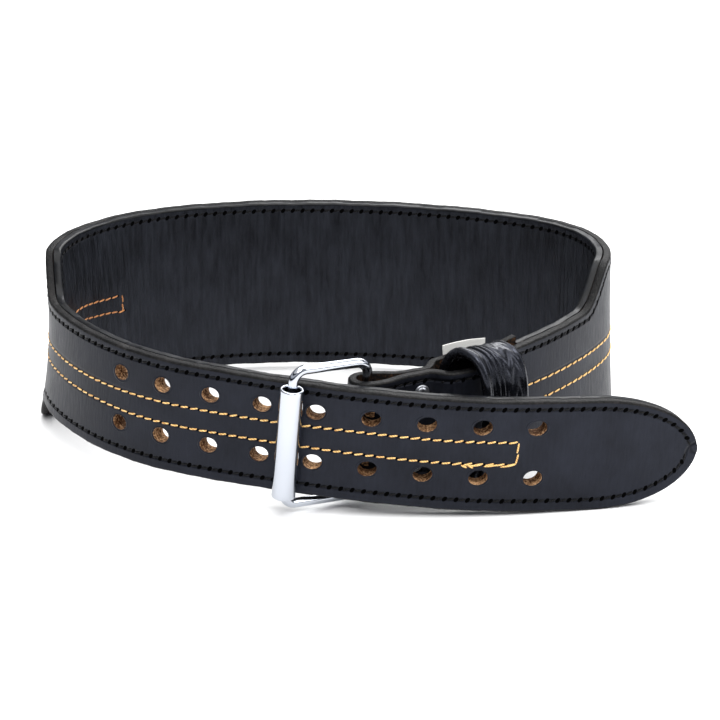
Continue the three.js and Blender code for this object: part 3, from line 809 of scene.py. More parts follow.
@dataclass
class Plies:
    """The outer and inner plies, with their holes, slots and cut edges."""

    step: float = 2.6
    tip_steps: int = 22
    face_points: int = 17
    back_points: int = 7
    flat_reach: float = 0.97
    arc_steps: int = 5
    rim_points: int = 5
    face_round: float = 1.25
    joint_round: float = 0.35
    nudge: float = 0.4
    slot_play: float = 0.5
    slot_length: float = 17.0
    rivet_hole: float = 1.9
    rivet_sides: int = 16
    rivet_reach: float = 9.0
    # Waves by which the rims' wear moves them up and down: length, height and phase
    wear: tuple[tuple[float, float, float], ...] = ((41.0, 0.12, 0.4), (17.0, 0.09, 1.9), (7.3, 0.06, 3.0))

    def _profile(self) -> tuple[Array, Array, Array, Array]:
        """Profile of a ply, in order round the section, the face being at positive depth.

        Returns:
            Shares of the half height, insets from it, depths, and whether each point is on a rim.
        """
        half = STRAP.ply / 2
        angles = np.linspace(0, np.pi / 2, self.arc_steps)
        side_in = np.concatenate([[self.joint_round, 0], self.face_round * (1 - np.cos(angles))])
        side_deep = np.concatenate([[-half, -half + self.joint_round],
                                    half - self.face_round * (1 - np.sin(angles))])
        flat = np.linspace(-self.flat_reach, self.flat_reach, self.face_points)
        back = np.linspace(self.flat_reach, -self.flat_reach, self.back_points)
        ones = np.ones(len(side_in))
        sign = np.concatenate([-ones, flat, ones, back])
        inset = np.concatenate([side_in, np.full(len(flat), self.face_round), side_in[::-1],
                                np.full(len(back), self.joint_round)])
        depth = np.concatenate([side_deep, np.full(len(flat), half), side_deep[::-1],
                                np.full(len(back), -half)])
        rim = np.zeros(len(sign), dtype=bool)
        second = len(side_in) + len(flat) + 1
        rim[:self.rim_points] = True
        rim[second:second + self.rim_points] = True
        return sign, inset, depth, rim

    def _marks(self, end: float) -> Array:
        """Lengths along a ply: crowded at the tip and even beyond it."""
        tip = STRAP.tip_length * np.linspace(0, 1, self.tip_steps) ** 1.8
        count = int((end - STRAP.tip_length) / self.step)
        return np.concatenate([tip, np.linspace(STRAP.tip_length, end, count + 1)[1:]])

    @staticmethod
    def outline(inset: float, end: float, side: float) -> Array:
        """An edge of the strap's outline, moved in by an inset that is square to it.

        Args:
            inset: The inset.
            end: Length from the tip at which the outline ends.
            side: 1 for the upper edge, -1 for the lower one.

        Returns:
            Points as length and height on the flat strap.
        """
        s = np.concatenate([STRAP.tip_length * np.linspace(0, 1, 300) ** 2, np.arange(61.0, end, 1.0), [end]])
        path = np.stack([s, STRAP.half_width(s)], -1)
        way = unit(np.gradient(path, axis=0))
        moved = path + np.stack([way[:, 1], -way[:, 0]], -1) * inset
        moved = moved[(moved[:, 1] > 0.3) & (moved[:, 0] > inset * 0.9)]
        return moved * [1.0, side]

    def _edge_distances(self, s: Array, v: Array) -> Array:
        """Distances of points on the flat strap from its upper and lower edges."""
        near = []
        for side in (1.0, -1.0):
            edge = self.outline(0.0, STRAP.loop, side)[::2]
            gap = (s[..., None] - edge[:, 0]) ** 2 + (v[..., None] - edge[:, 1]) ** 2
            near.append(np.sqrt(gap.min(axis=-1)))
        return np.stack(near, -1)

    def _strip(self, name: str, line: Callable[[Array], Section], marks: Array, half: Array,
               face: Face) -> Thing:
        """Carry the profile along a middle line.

        Args:
            name: Name of the piece.
            line: Function that gives the sections at the marks.
            marks: Lengths along the ply.
            half: Half widths at the marks.
            face: The side that the ply's face is on.

        Returns:
            The object, with its faces' material slots and its two UV maps.
        """
        sec = line(marks)
        ahead = line(np.minimum(marks + self.nudge, marks[-1]))
        behind = line(np.maximum(marks - self.nudge, 0))
        along = unit((ahead.middle - behind.middle) * [1.0, 1.0, 0.0])
        out = np.stack([-along[:, 1], along[:, 0], np.zeros(len(along))], -1)
        sign, inset, depth, rim = self._profile()
        v = sign * (half[:, None] - inset)
        edge = 2 * v / STRAP.back_width
        wear = ripple(marks, self.wear) * np.clip(marks / STRAP.tip_length, 0, 1)
        v = v + np.where(rim, np.sign(v), 0) * wear[:, None]
        shift = face.value * depth + sec.curl[:, None] * edge * edge
        points = sec.middle[:, None] + sec.up[:, None] * v[..., None] + out[:, None] * shift[..., None]
        rows, columns = v.shape
        obj = make_object(name, points, bar_faces(rows, columns))
        column = np.arange((rows - 1) * columns) % columns
        sides = np.where(rim[column] | rim[(column + 1) % columns], Part.EDGE.value, Part.FACE.value)
        sides[column >= columns - self.back_points - 1] = Part.BACK.value
        index = np.append(sides, [Part.EDGE.value] * 2).astype(np.int32)
        obj.data.polygons.foreach_set("material_index", index)
        length = np.broadcast_to(marks[:, None], v.shape)
        write_uv(obj.data, "Strap", np.stack([length, v], -1))
        write_uv(obj.data, "Edge", self._edge_distances(np.minimum(length, STRAP.loop), v))
        return obj

    def _hole_cutters(self) -> tuple[Array, list]:
        """Oval prisms through both plies at each hole, as one mesh's points and faces."""
        s = np.repeat(HOLES.first + HOLES.pitch * np.arange(HOLES.pairs), 2)
        height = np.tile([HOLES.upper, HOLES.lower], HOLES.pairs)
        sec = STRAP.section(s)
        square = unit(np.cross(sec.up, sec.along))
        square *= np.sign(np.sum(square * sec.out, axis=-1, keepdims=True))
        centre = sec.middle + sec.up * height[:, None]
        angle = full_turn(HOLES.sides)
        rim = (sec.along[:, None, :] * (np.cos(angle) * HOLES.length / 2)[None, :, None]
               + sec.up[:, None, :] * (np.sin(angle) * HOLES.width / 2)[None, :, None])
        reach = 2 * STRAP.ply
        ends = np.stack([centre - square * reach, centre + square * reach], 1)
        return join_bars(list(ends[:, :, None, :] + rim[:, None, :, :]))

    def _fold_cutters(self) -> tuple[Array, list]:
        """Boxes for the prongs' slots and prisms for the rivets, as one mesh's points and faces."""
        reach = STRAP.fold_radius + STRAP.ply + 2
        corners = np.array([[self.slot_length, -reach], [self.slot_length, STRAP.fold_radius / 2],
                            [-reach, STRAP.fold_radius / 2], [-reach, -reach]])
        sec = STRAP.section(STRAP.loop - BUCKLE.rivet_share * STRAP.fold_length)
        angle = full_turn(self.rivet_sides)[:, None]
        rim = (np.cos(angle) * sec.along[0] + np.sin(angle) * sec.up[0]) * self.rivet_hole
        slots, rivets = [], []
        for side in (1.0, -1.0):
            middle = AXES["hinge"] + AXES["up"] * BUCKLE.prong_height * side
            flat = middle - corners[:, :1] * AXES["along"] + corners[:, 1:] * AXES["hinge_out"]
            rise = AXES["up"] * (BUCKLE.eye_height / 2 + self.slot_play)
            slots.append(np.stack([flat - rise, flat + rise]))
            centre = (sec.middle + sec.up * BUCKLE.rivet_height * side)[0]
            run = sec.out[0] * self.rivet_reach
            rivets.append(np.stack([centre + rim - run, centre + rim + run]))
        return join_bars(slots + rivets)

    @staticmethod
    def _cut(obj: Thing, cutter: tuple[Array, list]) -> None:
        """Cut a cutter's bodies out of a piece. The walls of the cuts get the flesh slot."""
        tool = make_object("cutter", *cutter)
        for material in obj.data.materials:
            tool.data.materials.append(material)
        flesh = np.full(len(tool.data.polygons), Part.FLESH.value, dtype=np.int32)
        tool.data.polygons.foreach_set("material_index", flesh)
        combine(obj, tool, "DIFFERENCE")

    def build(self) -> list[tuple[Thing, str, str]]:
        """Build both plies.

        Returns:
            The pieces, each with its node and its material slot.
        """
        flesh, back = FLESH.material(), DYED_FLESH.material()
        marks = self._marks(STRAP.folded_end)
        half = np.where(marks < STRAP.loop, STRAP.half_width(marks), STRAP.front_width / 2)
        outer = self._strip("outer_ply_leather", STRAP.outer_line, marks, half, Face.OUTSIDE)
        marks = self._marks(STRAP.loop - STRAP.fold_length)
        half = STRAP.half_width(marks)
        inner = self._strip("inner_ply_leather", STRAP.inner_line, marks, half, Face.INSIDE)
        for ply, face, edge, cutters in (
            (outer, FACE_LEATHER, ROUGH_EDGE, (self._hole_cutters(), self._fold_cutters())),
            (inner, LINING_LEATHER, SLICK_EDGE, (self._hole_cutters(),)),
        ):
            for material in (face.material(), edge.material(), flesh, back):
                ply.data.materials.append(material)
            for cutter in cutters:
                self._cut(ply, cutter)
            sharpen(ply, 40)
        return [(outer, "outer_ply", "face_leather"), (inner, "inner_ply", "lining_leather")]


def even_points(path: Array, pitch: float) -> tuple[Array, Array]:
    """Walk a flat path in steps of one pitch.

    Args:
        path: Points as length and height.
        pitch: Length of a step.

    Returns:
        The middles of the steps, and their directions.
    """
    length = np.concatenate([[0.0], np.cumsum(np.linalg.norm(np.diff(path, axis=0), axis=1))])
    count = int(length[-1] / pitch)
    at = (np.arange(count) + 0.5) * pitch
    middle = np.stack([np.interp(at, length, path[:, k]) for k in (0, 1)], -1)
    ahead = np.stack([np.interp(at + 0.3 * pitch, length, path[:, k]) for k in (0, 1)], -1)
    return middle, unit(ahead - middle)


@dataclass
class Stitching:
    """All the seams: the yellow twin rows and the dark rows along the edges, on both faces."""

    yellow_pitch: float = 5.55
    yellow_start: float = 98.0
    yellow_end: float = 492.0
    yellow_stop: float = 925.0
    # Rows of length from the tip, and the heights of the upper and the lower yellow row there
    yellow_rows: tuple[tuple[float, float, float], ...] = (
        (98.0, 8.3, -4.0), (140.0, 8.0, -4.4), (180.0, 8.3, -4.0), (220.0, 7.6, -3.8), (300.0, 7.0, -4.2),
        (340.0, 6.6, -3.5), (400.0, 6.4, -3.4), (450.0, 7.2, -0.9), (469.0, 5.7, -3.2), (483.0, 4.4, -4.8),
        (492.0, 4.3, -6.0), (560.0, 6.0, -6.0), (850.0, 6.2, -4.6), (925.0, 6.6, -4.2),
    )
    inside_start: float = 400.0
    inside_over: float = 2.4
    cross_stitches: float = 2.01
    yellow_slit: tuple[float, float] = (0.95, 0.6)
    inside_slit: tuple[float, float] = (0.9, 0.5)
    # The thick stretch of back stitches at the start of the lower row, as rows of where it starts and ends
    # past the row's start, its shift down, the pitch, the length and slant of a stitch, its fill and its lift
    back_stitches: tuple[tuple[float, ...], ...] = (
        (0.0, 27.0, -0.5, 8.6, 8.6, -0.06, 1.02, 0.4), (22.0, 29.0, -1.2, 3.2, 3.6, 0.5, 1.0, 0.5),
    )
    edge_pitch: float = 5.9
    edge_top: float = 4.4
    edge_bottom: float = 6.2
    edge_slant: float = -0.24
    edge_slit: tuple[float, float] = (1.75, 1.15)
    thread: float = 0.5
    across: int = 8
    lengthwise: int = 9
    slit_points: int = 10
    turn_spread: float = 0.05
    length_spread: float = 0.04
    seed: int = 7
    rng: np.random.Generator = field(init=False)

    def __post_init__(self) -> None:
        """Seed the small differences between stitches."""
        self.rng = np.random.default_rng(self.seed)

    @staticmethod
    def _on_face(middle: Array, way: Array, turn: Array | float, face: Face) -> tuple[Array, ...]:
        """Carry flat places and directions to one of the strap's two faces.

        Args:
            middle: Places on the flat strap.
            way: Directions there.
            turn: Turn against them, in radians.
            face: The face.

        Returns:
            Points on the face, and the directions along, beside and out of it.
        """
        s, v = middle[:, 0], middle[:, 1]
        sec = STRAP.section(s)
        offset = face.value * (STRAP.clearance / 2 + STRAP.ply)
        stand = STRAP.stand_off(s) - STRAP.clearance / 2 if face is Face.OUTSIDE else 0.0
        cos, sin = np.cos(turn), np.sin(turn)
        flat = np.stack([way[:, 0] * cos - way[:, 1] * sin, way[:, 0] * sin + way[:, 1] * cos], -1)
        along = unit(sec.along * flat[:, :1] + sec.up * flat[:, 1:])
        out = sec.out * face.value
        return STRAP.place(s, v, offset + stand), along, np.cross(out, along), out

    def _stitches(self, middle: Array, way: Array, face: Face, pitch: float, slant: float,
                  fill: float, lift: float = 0.12) -> Array:
        """Bodies of stitches: each is a thread that bows out of the leather and dips in at its ends.

        Args:
            middle: Middles on the flat strap.
            way: Directions on the flat strap.
            face: The face that they lie on.
            pitch: Length of a stitch.
            slant: Turn of each stitch against its row, in radians.
            fill: Share of the pitch that shows.
            lift: Height of the thread's middle over the face.

        Returns:
            Points of shape (stitches, rings, points in a ring, 3).
        """
        turn = slant + self.rng.normal(0, self.turn_spread, len(middle))
        place, along, side, out = self._on_face(middle, way, turn, face)
        t = np.linspace(-1, 1, self.lengthwise)
        half = pitch * fill / 2 * (1 + self.rng.normal(0, self.length_spread, len(middle)))
        round_end = np.sqrt(np.clip(1 - np.abs(t) ** 3.5, 0.02, 1))
        bow = lift - 0.5 * np.abs(t) ** 3
        angle = full_turn(self.across)
        spine = (place[:, None, :] + along[:, None, :] * (half[:, None] * t)[..., None]
                 + out[:, None, :] * bow[None, :, None])
        ring = (side[:, None, None, :] * (np.cos(angle) * self.thread)[None, None, :, None]
                + out[:, None, None, :] * (np.sin(angle) * self.thread * 0.8)[None, None, :, None])
        return spine[:, :, None, :] + ring * round_end[None, :, None, None]

    def _slits(self, middle: Array, way: Array, face: Face, pitch: float, size: tuple[float, float],
               turn: float) -> Array:
        """Awl slits at the stitches' ends: thin dark lenses that lie on the face, painted shade for the dark
        insides of the holes.

        Args:
            middle: Middles of the stitches on the flat strap.
            way: Directions on the flat strap.
            face: The face that they lie on.
            pitch: Length of a stitch.
            size: Half length and half width of a slit.
            turn: Turn of a slit against its row, in radians.

        Returns:
            Points of shape (slits, rings, points in a ring, 3).
        """
        place, along, side, out = self._on_face(middle + way * pitch / 2, way, turn, face)
        angle = full_turn(self.slit_points)
        rim = (along[:, None] * (np.cos(angle) * size[0])[None, :, None]
               + side[:, None] * (np.sin(angle) * size[1])[None, :, None])
        levels = ((0.35, -0.3), (1.0, -0.1), (0.93, 0.05), (0.3, 0.09))
        return np.stack([place[:, None] + rim * grow + out[:, None] * rise for grow, rise in levels], 1)

    @staticmethod
    def _join(name: str, groups: list[Array], material: bpy.types.Material) -> Thing:
        """Make one mesh of many stitches, each a capped bar of rings."""
        obj = make_object(name, *join_bars([bar for group in groups for bar in group]))
        obj.data.materials.append(material)
        return obj

    def _row(self, start: float, end: float, column: int, shift: float = 0.0) -> Array:
        """One of the two yellow rows on the flat strap, between two lengths."""
        s = np.arange(start, end + 0.01, 1.0)
        rows = np.array(self.yellow_rows)
        return np.stack([s, curve_through(rows[:, 0], rows[:, column], s) + shift], -1)

    def _sew_yellow(self, yellow: list[Array], shaded_yellow: list[Array], slits: list[Array]) -> None:
        """Sew the twin rows outside and inside, the cross stitches that end them and the back stitches."""
        pitch = self.yellow_pitch
        for column in (1, 2):
            for sewn, start, stop, face, fill, slit in (
                (yellow, self.yellow_start, self.yellow_stop, Face.OUTSIDE, 0.98, self.yellow_slit),
                (shaded_yellow, self.inside_start, self.yellow_end + self.inside_over, Face.INSIDE, 0.96,
                 self.inside_slit),
            ):
                middle, way = even_points(self._row(start, stop, column), pitch)
                sewn.append(self._stitches(middle, way, face, pitch, -0.13 * face.value, fill))
                slits.append(self._slits(middle, way, face, pitch, slit, -0.9 * face.value))
        ends = ((yellow, self.yellow_start, Face.OUTSIDE), (shaded_yellow, self.yellow_end, Face.INSIDE))
        for sewn, start, face in ends:
            top, bottom = (self._row(start, start, column)[0, 1] for column in (1, 2))
            pitch = (top - bottom) / self.cross_stitches
            across = np.stack([np.full(60, start), np.linspace(top, bottom, 60)], -1)
            sewn.append(self._stitches(*even_points(across, pitch), face, pitch, 0.1, 0.98))
        for near, far, shift, pitch, length, slant, fill, lift in self.back_stitches:
            row = self._row(self.yellow_start + near, self.yellow_start + far, 2, shift)
            yellow.append(self._stitches(*even_points(row, pitch), Face.OUTSIDE, length, slant, fill, lift))

    def _sew_edges(self, black: list[Array], slits: list[Array]) -> None:
        """Sew the dark rows beside the upper and the lower edge, on both faces."""
        for side, inset in ((1.0, self.edge_top), (-1.0, self.edge_bottom)):
            for face, stop in ((Face.OUTSIDE, STRAP.loop - 4), (Face.INSIDE, STRAP.loop - STRAP.fold_length)):
                middle, way = even_points(Plies.outline(inset, stop, side), self.edge_pitch)
                slant = self.edge_slant * face.value
                black.append(self._stitches(middle, way, face, self.edge_pitch, slant, 0.86, -0.1))
                slits.append(self._slits(middle, way, face, self.edge_pitch, self.edge_slit, 3.6 * slant))

    def build(self) -> list[tuple[Thing, str]]:
        """Build the seams.

        Returns:
            The pieces, each with its material slot.
        """
        yellow, shaded_yellow, black, slits = [], [], [], []
        self._sew_yellow(yellow, shaded_yellow, slits)
        self._sew_edges(black, slits)
        # The inside yellow rows take the yellow thread in painted shade, and the slits are painted shade
        return [(self._join(name, groups, finish.material()), slot) for name, groups, finish, slot in (
            ("yellow_stitches", yellow, YELLOW_THREAD, "yellow_thread"),
            ("inside_yellow_stitches_painted_shade", shaded_yellow, SHADED_THREAD, "yellow_thread"),
            ("edge_stitches", black, BLACK_THREAD, "black_thread"),
            ("awl_slit_shade_lenses", slits, SLIT, "black_thread"))]


@dataclass
class BuckleMetal:
    """The wire frame, the roller, the two prongs and the two rivets."""

    wire_points: int = 20
    corner_steps: int = 14
    round_points: int = 56
    rivet_cap: float = 4.2
    rivet_dome: float = 1.8
    rivet_neck: float = 1.6

    def _frame(self) -> Array:
        """Rings of the bent wire: quarter circles at the corners, joined by straight bars."""
        quarter = np.repeat(np.arange(4), self.corner_steps)
        part = np.tile(np.linspace(0, 1, self.corner_steps), 4)
        angle = np.pi / 2 * (quarter + part)
        sides = np.array([[1, 1], [-1, 1], [-1, -1], [1, -1]])[quarter]
        spoke = np.cos(angle)[:, None] * AXES["across"] + np.sin(angle)[:, None] * AXES["up"]
        half = np.array([BUCKLE.length / 2, BUCKLE.height / 2]) - BUCKLE.corner
        centre = (AXES["hinge"] + AXES["bar"]) / 2 + AXES["up"] * BUCKLE.rise
        middle = (centre + sides[:, :1] * half[0] * AXES["across"] + sides[:, 1:] * half[1] * AXES["up"]
                  + spoke * BUCKLE.corner)
        around = full_turn(self.wire_points)
        ring = (spoke[:, None, :] * np.cos(around)[None, :, None]
                + AXES["out"][None, None, :] * np.sin(around)[None, :, None])
        return middle[:, None, :] + ring * BUCKLE.wire

    def _turned(self, centre: Array, axis: Array, profile: Array, start: Array) -> Array:
        """Turn a profile of radius and height round an axis, and return its rings."""
        side = unit(np.cross(axis, start))
        first = np.cross(side, axis)
        angle = full_turn(self.round_points)
        spoke = np.cos(angle)[:, None] * first + np.sin(angle)[:, None] * side
        return centre + spoke[:, None, :] * profile[None, :, :1] + axis * profile[None, :, 1:]

    def _roller_profile(self) -> Array:
        """The tube's wall, with its rims rolled round."""
        half, outer, inner = BUCKLE.roller_length / 2, BUCKLE.roller, BUCKLE.bore
        radius = (outer - inner) / 2
        angle = np.linspace(0, np.pi, 9)
        middle = (outer + inner) / 2
        top = np.stack([middle + radius * np.cos(angle), half - radius + radius * np.sin(angle)], -1)
        levels = np.linspace(half - radius, -half + radius, 24)[1:-1]
        down = np.stack([np.full(len(levels), inner), levels], -1)
        bottom = np.stack([middle - radius * np.cos(angle), -half + radius - radius * np.sin(angle)], -1)
        rise = np.stack([np.full(len(levels), outer), levels[::-1]], -1)
        return np.concatenate([top, down, bottom, rise])

    def _prong(self, name: str, height: float) -> Thing:
        """A prong: a flattened eye round the hinge bar and a tapered shank with a round tip."""
        centre = AXES["hinge"] + AXES["up"] * height
        swing = math.radians(BUCKLE.swing)
        way = -AXES["along"] * math.cos(swing) - AXES["hinge_out"] * math.sin(swing)
        way = unit(way - AXES["up"] * (way @ AXES["up"]))
        inner = BUCKLE.wire + BUCKLE.eye_play
        outer = inner + BUCKLE.eye_wall
        half = BUCKLE.eye_height / 2
        angle = full_turn(self.wire_points)
        rounded = np.stack([
            (inner + outer) / 2 + (outer - inner) / 2 * np.sign(np.cos(angle)) * np.abs(np.cos(angle)) ** 0.6,
            half * np.sign(np.sin(angle)) * np.abs(np.sin(angle)) ** 0.6], -1)
        eye = lofted(name, self._turned(centre, AXES["up"], rounded, way), True)
        point = np.sin(np.linspace(0.1, 1, 10) * np.pi / 2)
        share = np.concatenate([np.linspace(0, 0.9, 14), 0.9 + 0.1 * point])
        start = inner + BUCKLE.eye_wall / 2
        at = start + (BUCKLE.prong_length - start) * share
        tip = np.sqrt(np.clip(1 - ((share - 0.9) / 0.1).clip(0, 1) ** 2, 0.004, 1))
        radius = BUCKLE.prong * (1 - 0.25 * smoothstep(share, 0.5, 1.0)) * tip
        side = np.cross(AXES["up"], way)
        turn = full_turn(self.wire_points)
        rim = np.cos(turn)[:, None] * AXES["up"] + np.sin(turn)[:, None] * side
        rings = (centre + way * at[:, None])[:, None, :] + rim[None] * radius[:, None, None]
        shank = lofted("shank", rings)
        combine(eye, shank, "UNION")
        return eye

    def _rivet(self, name: str, height: float) -> Thing:
        """A rivet with a pressed cap on each side, and a shallow ring round each cap's rim."""
        sec = STRAP.section(STRAP.loop - BUCKLE.rivet_share * STRAP.fold_length)
        axis = unit(np.cross(sec.up[0], sec.along[0]))
        axis = axis * np.sign(axis @ sec.out[0])
        centre = (sec.middle + sec.up * height)[0]
        seat = STRAP.clearance * 1.5 + STRAP.ply
        share = np.linspace(0, 1, 12)
        dome = np.stack([self.rivet_cap * np.cos(share * np.pi / 2) ** 0.8 + 0.01,
                         seat + 0.4 + (self.rivet_dome - 0.4) * np.sin(share * np.pi / 2)], -1)
        dome[:, 1] -= 0.35 * np.exp(-((dome[:, 0] - self.rivet_cap * 0.72) / 0.35) ** 2)
        seat_rows = [[self.rivet_neck, seat], [self.rivet_cap - 0.3, seat], [self.rivet_cap, seat + 0.2]]
        half = np.concatenate([seat_rows, dome])
        profile = np.concatenate([half[::-1] * [1, -1], half])
        rings = self._turned(centre, axis, profile, sec.along[0])
        return lofted(name, rings.transpose(1, 0, 2))

    def build(self) -> list[tuple[Thing, str, str]]:
        """Build the metal pieces, each with its node and its material slot."""
        plating, dull = PLATING.material(), RIVET_PLATING.material()
        frame_wire = lofted("buckle_frame_wire", self._frame(), True)
        centre = AXES["bar"] + AXES["bar_out"] * BUCKLE.play
        rings = self._turned(centre, AXES["up"], self._roller_profile(), AXES["across"])
        roller = lofted("roller_tube", rings, True)
        pieces = [(frame_wire, "buckle_frame", "plated_steel"), (roller, "roller", "plated_steel")]
        for word, side in (("upper", 1.0), ("lower", -1.0)):
            prong = self._prong(f"prong_{word}_steel", BUCKLE.prong_height * side)
            pieces.append((prong, f"prong_{word}", "plated_steel"))
            rivet = self._rivet(f"rivet_{word}_cap", BUCKLE.rivet_height * side)
            pieces.append((rivet, f"rivet_{word}", "rivet_steel"))
        for piece, _, slot in pieces:
            piece.data.materials.clear()
            piece.data.materials.append(plating if slot == "plated_steel" else dull)
            sharpen(piece, 50)
        return pieces


@dataclass
class Keeper:
    """The leather loop beside the buckle, with a rolled bead on its mouth and pressed ridges."""

    width: float = 25.0
    wall: float = 3.0
    bead: float = 2.6
    half_height: float = 40.5
    front: float = 26.5
    share: float = 0.668
    skew: float = 12.0
    squareness: float = 0.72
    around: int = 240
    across: int = 84
    bead_points: int = 13
    # Rows of height, distance past the mouth and half width of the ridges and grooves beside the mouth
    ridges: tuple[tuple[float, float, float], ...] = (
        (-0.9, 5.6, 0.55), (0.55, 7.2, 0.8), (-0.7, 8.7, 0.5), (0.5, 10.2, 0.8), (-0.6, 11.6, 0.5),
    )

    def _band(self, angle: Array, back: float) -> Array:
        """Middle of the band's wall as offset and height: a superellipse."""
        turned = np.stack([np.cos(angle), np.sin(angle)], -1)
        bowed = np.sign(turned) * np.abs(turned) ** self.squareness
        reach = np.array([(self.front + back) / 2, self.half_height]) - self.wall / 2
        return bowed * reach + [(self.front - back) / 2, 0.0]

    def build(self) -> list[tuple[Thing, str, str]]:
        """Build the loop: a wall whose profile is carried round the superellipse."""
        s = STRAP.loop - self.share * STRAP.fold_length
        sec = STRAP.section(s)
        back_edge = s + (self.width + self.skew) / 2 + self.bead
        back = float(STRAP.stand_off(np.array([back_edge]))[0]) - STRAP.clearance - self.bead / 2
        angle = 2 * np.pi * (np.arange(self.around) + 0.5) / self.around
        band = self._band(angle, back)
        way = unit(self._band(angle + 0.02, back) - self._band(angle - 0.02, back))
        out, up, away = sec.out[0], sec.up[0], -sec.along[0]
        spoke = unit(way[:, 1:] * out - way[:, :1] * up)
        root = (sec.middle[0] + band[:, :1] * out + band[:, 1:] * up
                + away * (self.skew / 2 * np.cos(angle))[:, None])
        half, wall = self.width / 2, self.wall / 2
        bead_turn = np.linspace(0.3, 1.7, self.bead_points) * np.pi
        flat = np.linspace(half, -half + self.bead, self.across)
        x = np.concatenate([flat, -half + self.bead * np.cos(bead_turn), flat[::-1]])
        depth = np.concatenate([np.full(self.across, wall), self.bead * np.sin(bead_turn),
                                np.full(self.across, -wall)])
        outer = np.concatenate([np.ones(self.across), np.zeros(self.bead_points + self.across)])
        past = x + half
        ridge = sum(height * np.exp(-((past - at) / wide) ** 2) for height, at, wide in self.ridges)
        rim = 0.7 * np.exp(-((x - half + 1.3) / 0.8) ** 2)
        knock = 0.3 * np.sin(angle[:, None] * 13 + 1.3 * np.sin(x * 0.7)) * np.sin(x * 0.8 + 0.6)
        panel = smoothstep(past, 12.0, 13.2) * (1 - smoothstep(x, half - 3.0, half - 2.2))
        relief = outer * (ridge - 0.3 + rim)[None, :] + outer * panel * knock
        total = depth[None, :] + relief
        rings = root[:, None, :] + away * x[None, :, None] + spoke[:, None, :] * total[..., None]
        obj = lofted("keeper_leather_loop", rings, True)
        uv = np.stack(np.broadcast_arrays(x, angle[:, None] * 30), -1)
        for name in ("Strap", "Edge"):
            write_uv(obj.data, name, uv)
        obj.data.materials.append(KEEPER_LEATHER.material())
        return [(obj, "keeper", "keeper_leather")]


@dataclass
class Label:
    """The blank woven tag on the inner face of the fold."""

    thickness: float = 0.8
    lift: float = 0.05
    near: float = 0.54
    far: float = 0.82
    bottom: float = 5.0
    proud: float = 4.5
    slant: float = 5.0
    columns: int = 34
    rows: int = 30

    def build(self) -> list[tuple[Thing, str, str]]:
        """Build the tag: a sheet on the fold's inner face with a little thickness and a soft wave."""
        top = STRAP.front_width / 2 + self.proud
        near, far = self.near * STRAP.fold_length, self.far * STRAP.fold_length
        across = np.linspace(0, 1, self.columns)[:, None]
        height = np.linspace(self.bottom, top, self.rows)[None, :]
        lean = self.slant * (1 - across) * (1 - (height - self.bottom) / (top - self.bottom))
        s = STRAP.loop - near - lean - (far - near - lean) * across
        v = np.broadcast_to(height, s.shape)
        base = -STRAP.stand_off(s.ravel()) - STRAP.ply - STRAP.clearance
        layers = [STRAP.place(s.ravel(), v.ravel(), base - depth).reshape(*s.shape, 3)
                  for depth in (self.lift, self.thickness - self.lift)]
        ring = np.concatenate([layers[0], layers[1][:, ::-1]], 1)
        obj = lofted("label_tape", ring)
        uv = np.stack([np.concatenate([s, s[:, ::-1]], 1), np.concatenate([v, v[:, ::-1]], 1)], -1)
        write_uv(obj.data, "Strap", uv)
        obj.data.materials.append(TAPE.material())
        sharpen(obj, 50)
        return [(obj, "label", "label_tape")]


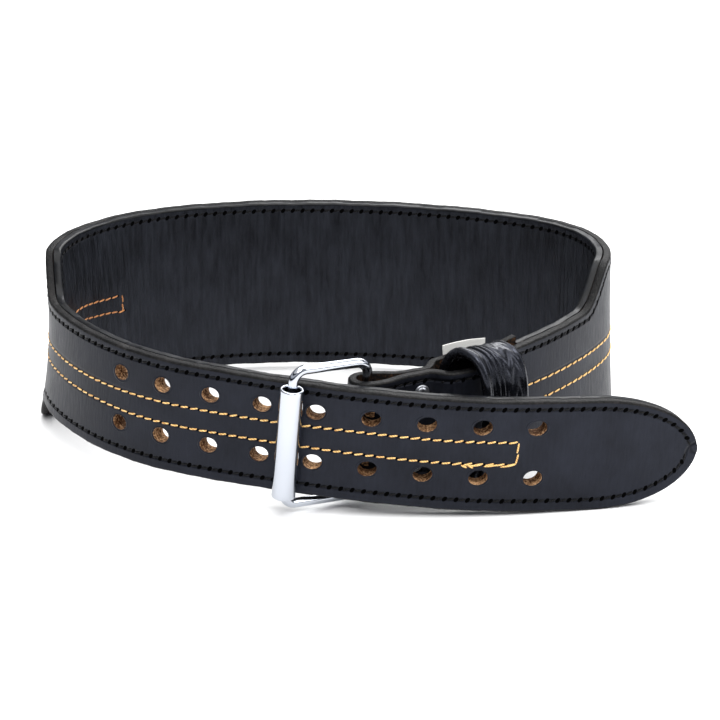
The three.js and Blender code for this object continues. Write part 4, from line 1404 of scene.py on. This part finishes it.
@dataclass
class Studio:
    """The pale floor, the soft lights and the camera."""

    floor_size: float = 6.0
    floor_colour: str = "#f4f4f4"
    floor_gap: float = 0.0002
    sky: float = 0.9
    # Stops of the sky's colour from the horizon up to straight overhead
    sky_stops: tuple[tuple[float, str], ...] = (
        (0.0, "#24272e"), (0.16, "#24272e"), (0.22, "#c4c8d0"), (0.42, "#e8eaf0"), (0.5, "#30343c"),
        (0.6, "#30343c"), (0.68, "#ffffff"),
    )
    # Rows of name, place in metres, size in metres and power in watts
    lamps: tuple[tuple[str, tuple[float, float, float], tuple[float, float], float], ...] = (
        ("key", (0.0, -1.4, 1.6), (0.9, 0.9), 23.0),
        ("fill", (1.3, -0.7, 1.0), (0.9, 1.4), 14.0),
        ("back", (0.5, 1.3, 1.2), (1.4, 0.8), 22.0),
        ("top", (0.0, 0.0, 1.9), (1.6, 1.6), 28.0),
    )

    def build(self) -> None:
        """Set up the floor, the world, the lamps and the camera."""
        half = self.floor_size / 2
        corners = [[-half, -half], [half, -half], [half, half], [-half, half]]
        floor = make_object("floor", np.array([[x, y, -self.floor_gap] for x, y in corners]), [[0, 1, 2, 3]],
                            world=True)
        paper, _, _ = new_material("matt_white_paper", Base_Color=linear(self.floor_colour), Roughness=0.9)
        floor.data.materials.append(paper)
        world = bpy.data.worlds.new("studio")
        bpy.context.scene.world = world
        world.use_nodes = True
        tree = world.node_tree
        way = node(tree, "ShaderNodeTexCoord").outputs["Generated"]
        level = node(tree, "ShaderNodeSeparateXYZ", inputs={0: way}).outputs[2]
        tree.links.new(ramp(tree, level, self.sky_stops), tree.nodes["Background"].inputs["Color"])
        tree.nodes["Background"].inputs["Strength"].default_value = self.sky
        for name, place, (wide, high), power in self.lamps:
            data = bpy.data.lights.new(name, "AREA")
            data.shape = "RECTANGLE"
            data.size, data.size_y, data.energy = wide, high, power
            lamp = bpy.data.objects.new(name, data)
            lamp.location = place
            lamp.rotation_euler = (Vector((0, 0, 0.05)) - Vector(place)).to_track_quat("-Z", "Y").to_euler()
            bpy.context.scene.collection.objects.link(lamp)
        self._camera()
        bpy.context.scene.view_settings.view_transform = "Standard"

    @staticmethod
    def _camera() -> None:
        """Place the camera at the photo's angle, square to the buckled strap's own frame."""
        tilt = math.radians(CAMERA_ELEVATION)
        place = Vector((0, -CAMERA_DISTANCE * math.cos(tilt), CAMERA_DISTANCE * math.sin(tilt)))
        turn = Matrix.Rotation(math.pi / 2 - tilt, 3, "X")
        place += turn @ Vector((*CAMERA_ASIDE, 0.0))
        rest = REST_TURN.to_matrix()
        data = bpy.data.cameras.new("camera")
        data.sensor_width = SENSOR
        data.lens = FOCAL_PIXELS * SENSOR / PICTURE_PIXELS
        data.clip_start = 0.05
        camera = bpy.data.objects.new("camera", data)
        camera.matrix_world = Matrix.Translation((rest @ place + REST_PLACE) * MM) @ (rest @ turn).to_4x4()
        bpy.context.scene.collection.objects.link(camera)
        bpy.context.scene.camera = camera


def main() -> None:
    """Build the belt's pieces in order, hang each on the root body, and log the node that each assembly piece
    replaces.
    """
    logging.basicConfig(level=logging.INFO, format="%(name)s: %(message)s")
    Studio().build()
    for assembly in (Plies(), BuckleMetal(), Keeper(), Label()):
        for piece, replaced, slot in assembly.build():
            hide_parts(replaced)
            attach(piece, "root")
            log.info("%s replaces %s, %d faces", piece.name, replaced, len(piece.data.polygons))
    for piece, slot in Stitching().build():
        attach(piece, "root")
        log.info("%s, %d faces", piece.name, len(piece.data.polygons))


if __name__ == "__main__":
    main()
